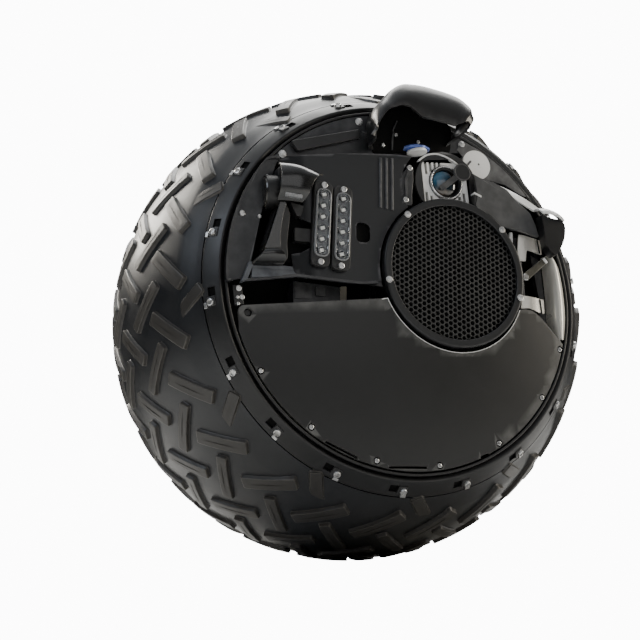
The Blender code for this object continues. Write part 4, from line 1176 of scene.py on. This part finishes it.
HOOD_LINES = [
    ((-0.0310, 0.2300), (-0.0440, 0.2310), (-0.0560, 0.2345)),
              ((-0.0325, 0.2470), (-0.0440, 0.2500), (-0.0460, 0.2475)),
    ((-0.0330, 0.2730), (-0.0410, 0.2700), (-0.0341, 0.2644)),
              ((-0.0270, 0.2900), (-0.0320, 0.2890), (-0.0202, 0.2787)),
    ((-0.0150, 0.3040), (-0.0170, 0.3065), (-0.0092, 0.2828)),
              ((0.0030, 0.3170), (0.0004, 0.3240), (0.0035, 0.2862)),
    ((0.0200, 0.3250), (0.0195, 0.3340), (0.0156, 0.2844)), ((0.0380, 0.3270), (0.0377, 0.3352),
                                                             (0.0253, 0.2765)),
    ((0.0560, 0.3260), (0.0557, 0.3340), (0.0366, 0.2678)), ((0.0770, 0.3220), (0.0770, 0.3300),
                                                             (0.0560, 0.2640)),
    ((0.0980, 0.3160), (0.1000, 0.3245), (0.0770, 0.2600)), ((0.1120, 0.3070), (0.1180, 0.3180),
                                                             (0.0925, 0.2565)),
    ((0.1220, 0.2960), (0.1314, 0.3080), (0.1000, 0.2600)), ((0.1260, 0.2860), (0.1388, 0.2985),
                                                             (0.1110, 0.2628)),
    ((0.1270, 0.2780), (0.1398, 0.2865), (0.1185, 0.2655)), ((0.1230, 0.2680), (0.1396, 0.2755),
                                                             (0.1235, 0.2610)),
    ((0.1050, 0.2430), (0.1180, 0.2500), (0.1225, 0.2545))]


def hood_grid():
    """The visor's skin: each line runs from its base, over the crown, to the rim of its mouth."""
    lines = []
    for place, (base, crown, rim) in enumerate(HOOD_LINES):
        front = 0.0322 - 0.0022 * max(0, 3 - place, place - 13)
        line = []
        for step in range(17):
            angle = math.radians(-90 + 180 * step / 16)
            level = math.cos(angle)
            start = Vector(base if angle < 0 else rim)
            spot = start.lerp(Vector(crown), level)
            line.append(Vector((0.2684 + (0.0276 if angle < 0 else front) * math.sin(angle), spot.x,
                                spot.y)))
        lines.append(line)
    columns = [smooth_line([line[k] for line in lines], 96) for k in range(17)]
    return [[column[k] for column in columns] for k in range(97)]


def build_top_hood():
    """Cobra-shaped visor above the camera, with the blue beacon under its mouth."""
    pod_piece("visor", sheet_from(hood_grid(), 0.0042, (0.2500, 0.0500, 0.2750)), SATIN,
              slot="satin_black_paint", replaces=("left_top_hood",),
              angle=50)
    # A near-black sheet under the visor: painted shade inside its mouth.
    back = slab([(-0.0300, 0.2250), (0.1100, 0.2320), (0.1190, 0.2700), (0.1060, 0.2980), (0.0600, 0.3180),
                          (0.0180, 0.3160), (-0.0150, 0.2960), (-0.0290, 0.2640)], 0.006, 0.2392, 0.2412)
    pod_piece("visor_back", back, PAINTED_SHADE)
    strut = slab([(0.0185, 0.2830), (0.0205, 0.2822), (0.0113, 0.2660), (0.0053, 0.2316), (0.0033, 0.2316),
                           (0.0093, 0.2668)], 0.0004, 0.2400, 0.2440)
    pod_piece("visor_strut", strut, GREY, bevel=0.0004)
    # A near-black sliver in the visor: painted shade.
    notch = slab([(-0.0078, 0.2965), (-0.0058, 0.2975), (-0.0112, 0.2868), (-0.0130, 0.2872)], 0.0005,
                 0.2560,
                  0.2680)
    pod_piece("visor_notch", notch, PAINTED_SHADE)
    heads = [moved(screw(0.0030, 0.0026), Matrix.Translation((0.2408, *spot)))
             for spot in ((-0.0103, 0.2398), (0.0152, 0.2584), (0.0537, 0.2483))]
    pod_piece("visor_screws", merged(*heads), BOLT, slot="stainless_steel")
    base = turned_plug([(0, 0.0150), (0.0012, 0.0165), (0.0040, 0.0165), (0.0052, 0.0150)], 48)
    upright = Matrix.Translation((0.2600, 0.0395,
                                  0.2205)) @ Matrix.Rotation(math.radians(-90), 4, "Y") @ Matrix.Rotation(
        math.radians(12), 4, "X")
    pod_piece("beacon_base", moved(base, upright), PALE_METAL_AND_HIGHLIGHT, slot="machined_aluminium")
    cap = turned_plug([(0.0050, 0.0130), (0.0065, 0.0150), (0.0095, 0.0148), (0.0120, 0.0120),
                       (0.0130, 0.0060)], 10)
    pod_piece("beacon_cap", moved(cap, upright @ Matrix.Scale(1.7, 4, (0, 1, 0))), BLUE,
              slot="battery_wrap",
              bevel=0.0006)


def build_rear():
    """Panel, plate, corner hood and round side cap behind the camera."""
    panel = rounded([(0.1250, 0.2390), (0.1370, 0.2560, 0.004), (0.1700, 0.2390), (0.2040, 0.2120),
                     (0.2340, 0.1830),
                     (0.2520, 0.1600), (0.2340, 0.1640), (0.2075, 0.1810), (0.1620, 0.1910)], 0.002)
    pod_piece("rear_corner_panel", prism(panel, 0.2370, 0.2398), PANEL_GREY, slot="dark_grey_plate",
              bevel=0.0008)
    outline = rounded([(0.1310, 0.1925, 0.004), (0.1486, 0.1830), (0.1755, 0.1750), (0.1964, 0.1640),
                       (0.2090, 0.1470),
                       (0.2240, 0.1340), (0.2340, 0.1250), (0.2410, 0.1050), (0.2450, 0.0835, 0.003),
                       (0.2195, 0.0920),
                       (0.1740, 0.1010), (0.1694, 0.1080), (0.1580, 0.1195), (0.1375, 0.1310),
                       (0.1342, 0.1360, 0.003),
                       (0.1407, 0.1530, 0.02), (0.1380, 0.1876, 0.004)], 0.002)
    pod_piece("rear_sheet", prism(outline, 0.2560, 0.2618), PANEL_GREY, slot="dark_grey_plate",
              replaces=("left_rear_plate",), bevel=0.0014, segments=3)
    # A pale sloped strip below the rear panel: a painted highlight along its lit bevel.
    top = smooth_line([(0.2520, 0.1450, 0.1850), (0.2520, 0.1760, 0.1792), (0.2520, 0.2009, 0.1700),
                       (0.2520, 0.2345, 0.1535), (0.2520, 0.2610, 0.1355)], 24)
    bottom = smooth_line([(0.2532, 0.1450, 0.1838), (0.2540, 0.1760, 0.1775), (0.2580, 0.1968, 0.1645),
                          (0.2605, 0.2110, 0.1490), (0.2600, 0.2440, 0.1300)], 24)
    grid = [[a.lerp(b, k / 4) for a, b in zip(top, bottom)] for k in range(5)]
    pod_piece("rear_slope", sheet_from(grid, 0.0030), PALE_METAL_AND_HIGHLIGHT, slot="machined_aluminium", bevel=0.0006,
              angle=50)
    hood_outline = rounded([(0.2440, 0.1180, 0.003), (0.2590, 0.1120, 0.010), (0.2800, 0.1090, 0.008),
                            (0.2875, 0.1020, 0.008), (0.2850, 0.0830, 0.02), (0.2770, 0.0650, 0.015),
                            (0.2620, 0.0470, 0.004), (0.2500, 0.0560, 0.010), (0.2450, 0.0730, 0.015),
                            (0.2460, 0.0990, 0.01)], 0.006, 5)
    pod_piece("corner_hood", prism(hood_outline, 0.2600, 0.2790), SATIN, slot="satin_black_paint",
              replaces=("left_rear_hood",), bevel=0.0040, segments=5)
    # The corner hood's roof is satin black; its pale colour here is a painted reflection of the bright light
    # on its top.
    roof = [[(0.2640, 0.2395, 0.1290), (0.2640, 0.2560, 0.1310), (0.2640, 0.2750, 0.1255),
             (0.2640, 0.2865, 0.1165),
             (0.2640, 0.2905, 0.1080)],
            [(0.2740, 0.2390, 0.1285), (0.2740, 0.2560, 0.1298), (0.2740, 0.2740, 0.1240),
             (0.2740, 0.2850, 0.1155),
             (0.2740, 0.2890, 0.1080)],
            [(0.2830, 0.2400, 0.1240), (0.2840, 0.2560, 0.1235), (0.2840, 0.2720, 0.1185),
             (0.2830, 0.2815, 0.1120),
             (0.2820, 0.2855, 0.1075)],
            [(0.2870, 0.2430, 0.1185), (0.2880, 0.2570, 0.1165), (0.2880, 0.2690, 0.1130),
             (0.2860, 0.2780, 0.1090),
             (0.2850, 0.2820, 0.1060)]]
    pod_piece("corner_hood_brow", sheet_from(smooth_grid(roof, 14, 20), 0.0030, (0.25, 0.26, 0.07)),
              PALE_METAL_AND_HIGHLIGHT,
              slot="satin_black_paint", bevel=0.0008, angle=50)
    disc = [(0.1950, 0.0245), (0.2260, 0.0262), (0.2350, 0.0268), (0.2385, 0.0264), (0.2402, 0.0252),
            (0.2408, 0.0120)]
    # The cap's white colour is its painted reflection.
    cap = pod_piece("side_cap", turned_plug(disc, 72, SENSOR), WHITE_PAINTED_REFLECTION, slot="bright_chrome",
                    replaces=("left_side_sensor",), angle=40)
    hole = (SENSOR[0] + 0.004, SENSOR[1] + 0.001)
    notch = strip((SENSOR[0] - 0.0205, SENSOR[1] - 0.0035), (SENSOR[0] - 0.0095, SENSOR[1] + 0.0065),
                  0.0036)
    carve(cap, [turned_plug([(0.2350, 0.0020), (0.2500, 0.0020)], 16, hole), prism(notch, 0.235, 0.25)])
    tab = slab([(0.1780, 0.2130), (0.2146, 0.2048), (0.2070, 0.1940), (0.1780, 0.2040)], 0.0015, 0.2290,
               0.2360)
    pod_piece("side_cap_tab", tab, WHITE_PAINTED_REFLECTION, slot="bright_chrome", bevel=0.0014)


def bent_depth(bottom):
    """Depth along a pressed ear: it waves a little and ends in an upturned edge."""
    def depth(y, z):
        t = (y - bottom) / 0.045
        return 0.2470 + 0.0016 * math.sin(min(1.0, max(0.0, t)) * math.pi * 1.5)
    return depth


def build_latch():
    """Stainless clamp ears, the strip between them, and the latch lever with its bright tip."""
    upper = [(0.2152, 0.0924), (0.2556, 0.0840), (0.2557, 0.0589), (0.2265, 0.0660, 0.003),
             (0.2214, 0.0462),
             (0.2066, 0.0477)]
    lower = [(0.2070, -0.0117), (0.2472, -0.0185), (0.2454, -0.0420), (0.2345, -0.0402), (0.2168, -0.0335),
             (0.2018, -0.0335)]
    ears = merged(shaped_plate(rounded([(*p[:2], p[2] if len(p) > 2 else 0.0012) for p in upper], 0.0012),
                               0.0025,
                               bent_depth(0.2100), 0.003),
                  shaped_plate(rounded(lower, 0.0012), 0.0025, bent_depth(0.2050), 0.003))
    pod_piece("clamp_ears", ears, STEEL, slot="stainless_steel", replaces=("left_clamp_bracket",), angle=50)
    # Near-black slivers along the ears: painted shade in their slots.
    gaps = merged(prism([(0.2490, 0.0845), (0.2506, 0.0842), (0.2522, 0.0605), (0.2506, 0.0608)], 0.2460,
                        0.2478),
                  prism([(0.2385, -0.0180), (0.2400, -0.0183), (0.2403, -0.0415), (0.2388, -0.0418)],
                        0.2460, 0.2478))
    pod_piece("clamp_ear_slots", gaps, PAINTED_SHADE)
    spine = prism([(0.2110, 0.0900), (0.2220, 0.0880), (0.2170, -0.0330), (0.2050, -0.0330)], 0.2340,
                  0.2385)
    pod_piece("clamp_spine", spine, PLATE_PAINT, bevel=0.0008)
    band = slab([(0.1987, 0.0955), (0.2043, 0.0956), (0.2024, 0.0767), (0.1966, 0.0817)], 0.0012, 0.2440,
                0.2480)
    pod_piece("clamp_band", band, PALE_METAL_AND_HIGHLIGHT, slot="stainless_steel", bevel=0.0006)
    along = (Vector(LATCH_END) - Vector(LATCH_PIVOT)).normalized()
    across = Vector((-along.y, along.x))
    root, end = Vector(LATCH_PIVOT) - along * 0.001, Vector(LATCH_END)
    outline = [tuple(root + across * 0.0066), tuple(root - across * 0.0066), tuple(end - across * 0.0050),
               tuple(end + across * 0.0050)]
    lever = slab(outline, 0.003, 0.2510, 0.2558)
    for vertex in lever.verts:
        if vertex.co.x > 0.253:
            vertex.co.x -= 0.0016 * max(0.0, (vertex.co.yz - root).dot(along) / (end - root).length)
    pod_piece("latch_arm", lever, OLIVE, "left_latch", "dark_grey_plate", ("left_latch_lever",),
              bevel=0.0014, segments=3)
    tip = prism(strip(end - along * 0.0045, end, 0.0100, 0.0016), 0.2535, 0.2566)
    pod_piece("latch_tip", tip, PALE_METAL_AND_HIGHLIGHT, "left_latch", "machined_aluminium", bevel=0.0008)
    boss = turned_plug([(0.2505, 0.0056), (0.2562, 0.0056), (0.2572, 0.0046)], 32, LATCH_PIVOT)
    pod_piece("latch_boss", boss, BOLT, "left_latch", "stainless_steel")


def build_rear_cowl():
    """Bulging satin wall that fills the rear of the pod between the latch and the rim, with its bright warm
    reflection painted into its colour.
    """
    levels = [0.0600, 0.0420, 0.0160, -0.0180, -0.0520, -0.0850]
    left = [0.2680, 0.2676, 0.2668, 0.2655, 0.2625, 0.2640]
    right = [0.2780, 0.2870, 0.2902, 0.2900, 0.2868, 0.2790]
    rows = []
    for z, low, high in zip(levels, left, right):
        rows.append([(0.2210, low, z), (0.2380, low + (high - low) * 0.25, z),
                     (0.2440, low + (high - low) * 0.60, z),
                     (0.2390, high, z)])
    pod_piece("rear_cowl", sheet_from(smooth_grid(rows, 30, 18), 0.0040), COWL_PAINTED_REFLECTION, slot="machined_aluminium",
              angle=50,
              bevel=0.0010)
    wall = slab([(0.2500, 0.0660), (0.2660, 0.0560), (0.2650, -0.0180), (0.2600, -0.0780),
                 (0.2480, -0.0600),
                          (0.2550, -0.0100)], 0.002, 0.2100, 0.2200)
    pod_piece("rear_cowl_wall", wall, RING_PAINT, slot="satin_black_paint", bevel=0.0010)


def build_rim_bolts():
    """Small bolts of the tub where the wing meets the lower cover."""
    strap = slab([(-0.2850, 0.0050), (-0.2700, 0.0050), (-0.2690, -0.0260), (-0.2850, -0.0270)], 0.003,
                 0.2250,
                  0.2362)
    pod_piece("rim_strap", strap, BLACK, bevel=0.0012)
    heads = [moved(screw(size, 0.0030), Matrix.Translation((0.2360, y, z))) for y, z, size in
             ((-0.2765, -0.0009, 0.0046), (-0.2794, -0.0149, 0.0028), (-0.2722, -0.0148, 0.0040),
              (-0.2795, -0.0250, 0.0026))]
    pod_piece("rim_bolts", merged(*heads), BOLT, slot="stainless_steel")


def mirror_pod():
    """Copies each +X pod piece to the -X side."""
    for source in [o for o in bpy.data.objects if o.get("pod")]:
        name = "right_" + source.name.removeprefix("left_")
        twin = source.copy()
        twin.data = source.data.copy()
        twin.name = name
        twin.data.transform(Matrix.Scale(-1, 4, (1, 0, 0)))
        twin.data.flip_normals()
        bpy.context.scene.collection.objects.link(twin)
        if "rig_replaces" in twin:
            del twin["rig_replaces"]
        body = source["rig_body"].replace("left_", "right_")
        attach(twin, body)
        replaced = [n.replace("left_", "right_") for n in source.get("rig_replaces", [])]
        if replaced:
            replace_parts(twin, *replaced)


def finish_cad_nodes():
    """Inner pieces keep their CAD shape and take a better surface."""
    looks = {"main_axle": STEEL, "chassis_frame": ALUMINIUM, "drive_motor": BLACK, "drive_pinion": STEEL,
             "controller_box": BLACK, "swing_motor": BLACK, "swing_gear": IRON, "swing_pinion": STEEL,
             "pendulum_arm": IRON, "front_battery": WRAP, "rear_battery": WRAP, "drive_gear": IRON}
    for side in ("left", "right"):
        looks.update({f"{side}_shell_disc": SATIN, f"{side}_hub_bearing": STEEL,
                      f"{side}_speaker_driver": BLACK})
    for name, material in looks.items():
        for slot in frame["nodes"][name].material_slots:
            slot.material = material


# Setting


def build_stage():
    """Pale floor that shows only from above, so that a view from below looks past it."""
    bm = bmesh.new()
    bmesh.ops.create_circle(bm, cap_ends=True, segments=96, radius=9.0)
    mesh = bpy.data.meshes.new("floor")
    bm.to_mesh(mesh)
    bm.free()
    floor = bpy.data.objects.new("floor", mesh)
    bpy.context.scene.collection.objects.link(floor)
    made, tree, shader = node_material("pale_floor")
    shader.inputs["Base Color"].default_value = (0.78, 0.78, 0.77, 1)
    shader.inputs["Roughness"].default_value = 0.6
    side = tree.nodes.new("ShaderNodeNewGeometry")
    clear = tree.nodes.new("ShaderNodeBsdfTransparent")
    either = tree.nodes.new("ShaderNodeMixShader")
    tree.links.new(side.outputs["Backfacing"], either.inputs["Fac"])
    tree.links.new(shader.outputs["BSDF"], either.inputs[1])
    tree.links.new(clear.outputs["BSDF"], either.inputs[2])
    tree.links.new(either.outputs["Shader"], tree.nodes["Material Output"].inputs["Surface"])
    mesh.materials.append(made)


def area_light(name, place, size, energy, colour):
    data = bpy.data.lights.new(name, "AREA")
    data.shape = "RECTANGLE"
    data.size, data.size_y = size
    data.energy = energy
    data.color = colour
    light = bpy.data.objects.new(name, data)
    light.location = CENTRE + Vector(place)
    light.rotation_mode = "QUATERNION"
    light.rotation_quaternion = (-Vector(place)).to_track_quat("-Z", "Y")
    light.visible_camera = False
    bpy.context.scene.collection.objects.link(light)


def build_lights():
    """Bright backdrop for the camera, a room that is light above and dark below, and soft area lights."""
    world = bpy.data.worlds.new("pale_room")
    bpy.context.scene.world = world
    world.use_nodes = True
    tree = world.node_tree
    backdrop = tree.nodes["Background"]
    backdrop.inputs["Color"].default_value = (1, 1, 1, 1)
    backdrop.inputs["Strength"].default_value = 12.0
    room = tree.nodes.new("ShaderNodeBackground")
    place = tree.nodes.new("ShaderNodeTexCoord")
    apart = tree.nodes.new("ShaderNodeSeparateXYZ")
    tree.links.new(place.outputs["Generated"], apart.inputs["Vector"])
    bands = tree.nodes.new("ShaderNodeValToRGB")
    ramp = bands.color_ramp
    ramp.elements[0].position, ramp.elements[0].color = 0.30, (0.010, 0.011, 0.012, 1)
    ramp.elements[1].position, ramp.elements[1].color = 1.0, (0.72, 0.75, 0.78, 1)
    for position, level in ((0.50, 0.024), (0.66, 0.038), (0.80, 0.15)):
        ramp.elements.new(position).color = (level, level, level * 1.04, 1)
    height = remap(tree, apart.outputs["Z"], 0.0, 1.0, -1.0, 1.0)
    tree.links.new(height, bands.inputs["Fac"])
    tree.links.new(bands.outputs["Color"], room.inputs["Color"])
    path = tree.nodes.new("ShaderNodeLightPath")
    either = tree.nodes.new("ShaderNodeMixShader")
    tree.links.new(path.outputs["Is Camera Ray"], either.inputs["Fac"])
    tree.links.new(room.outputs["Background"], either.inputs[1])
    tree.links.new(backdrop.outputs["Background"], either.inputs[2])
    tree.links.new(either.outputs["Shader"], tree.nodes["World Output"].inputs["Surface"])
    area_light("key_above_behind", (-0.9, 1.2, 2.8), (3.0, 2.4), 130, (1.0, 0.99, 0.96))
    area_light("cream_above_left", (-2.6, -1.3, 2.3), (1.6, 1.4), 120, (1.0, 0.95, 0.86))
    area_light("warm_right", (1.5, 3.2, 0.8), (1.2, 1.6), 70, (1.0, 0.93, 0.80))
    area_light("cool_left", (0.9, -2.6, 2.0), (1.8, 1.4), 26, (0.80, 0.88, 1.0))
    area_light("front_fill", (3.2, 0.4, 0.9), (2.2, 1.6), 10, (1.0, 1.0, 1.0))


def build_camera_view():
    """Low three-quarter view onto the +X pod."""
    data = bpy.data.cameras.new("view")
    data.lens = 78.75
    data.sensor_width = 36.0
    azimuth, elevation, roll = map(math.radians, (VIEW_AZIMUTH, VIEW_ELEVATION, VIEW_ROLL))
    back = Vector((math.sin(azimuth) * math.cos(elevation), -math.cos(azimuth) * math.cos(elevation),
                   math.sin(elevation)))
    level = Vector((0, 0, 1)).cross(back).normalized()
    upward = back.cross(level)
    right = level * math.cos(roll) + upward * math.sin(roll)
    up = back.cross(right)
    turn = Matrix((right, up, back)).transposed().to_4x4()
    camera = bpy.data.objects.new("view", data)
    camera.matrix_world = Matrix.Translation(CENTRE + Vector(VIEW_PLACE)) @ turn
    bpy.context.scene.collection.objects.link(camera)
    bpy.context.scene.camera = camera


build_camera_view()
build_stage()
build_lights()
finish_cad_nodes()
build_tread()
build_flange_ring()
build_tub()
build_lower_cover()
build_speaker()
build_light_plate()
build_led_bar("front", *FRONT_LAMPS, "front_led_bar")
build_led_bar("rear", *REAR_LAMPS, "rear_led_bar")
build_wing()
build_front_hood()
build_headlamp()
build_radio_box()
build_upper_panel()
build_camera()
build_wiper()
build_top_hood()
build_rear()
build_latch()
build_rear_cowl()
build_rim_bolts()
mirror_pod()
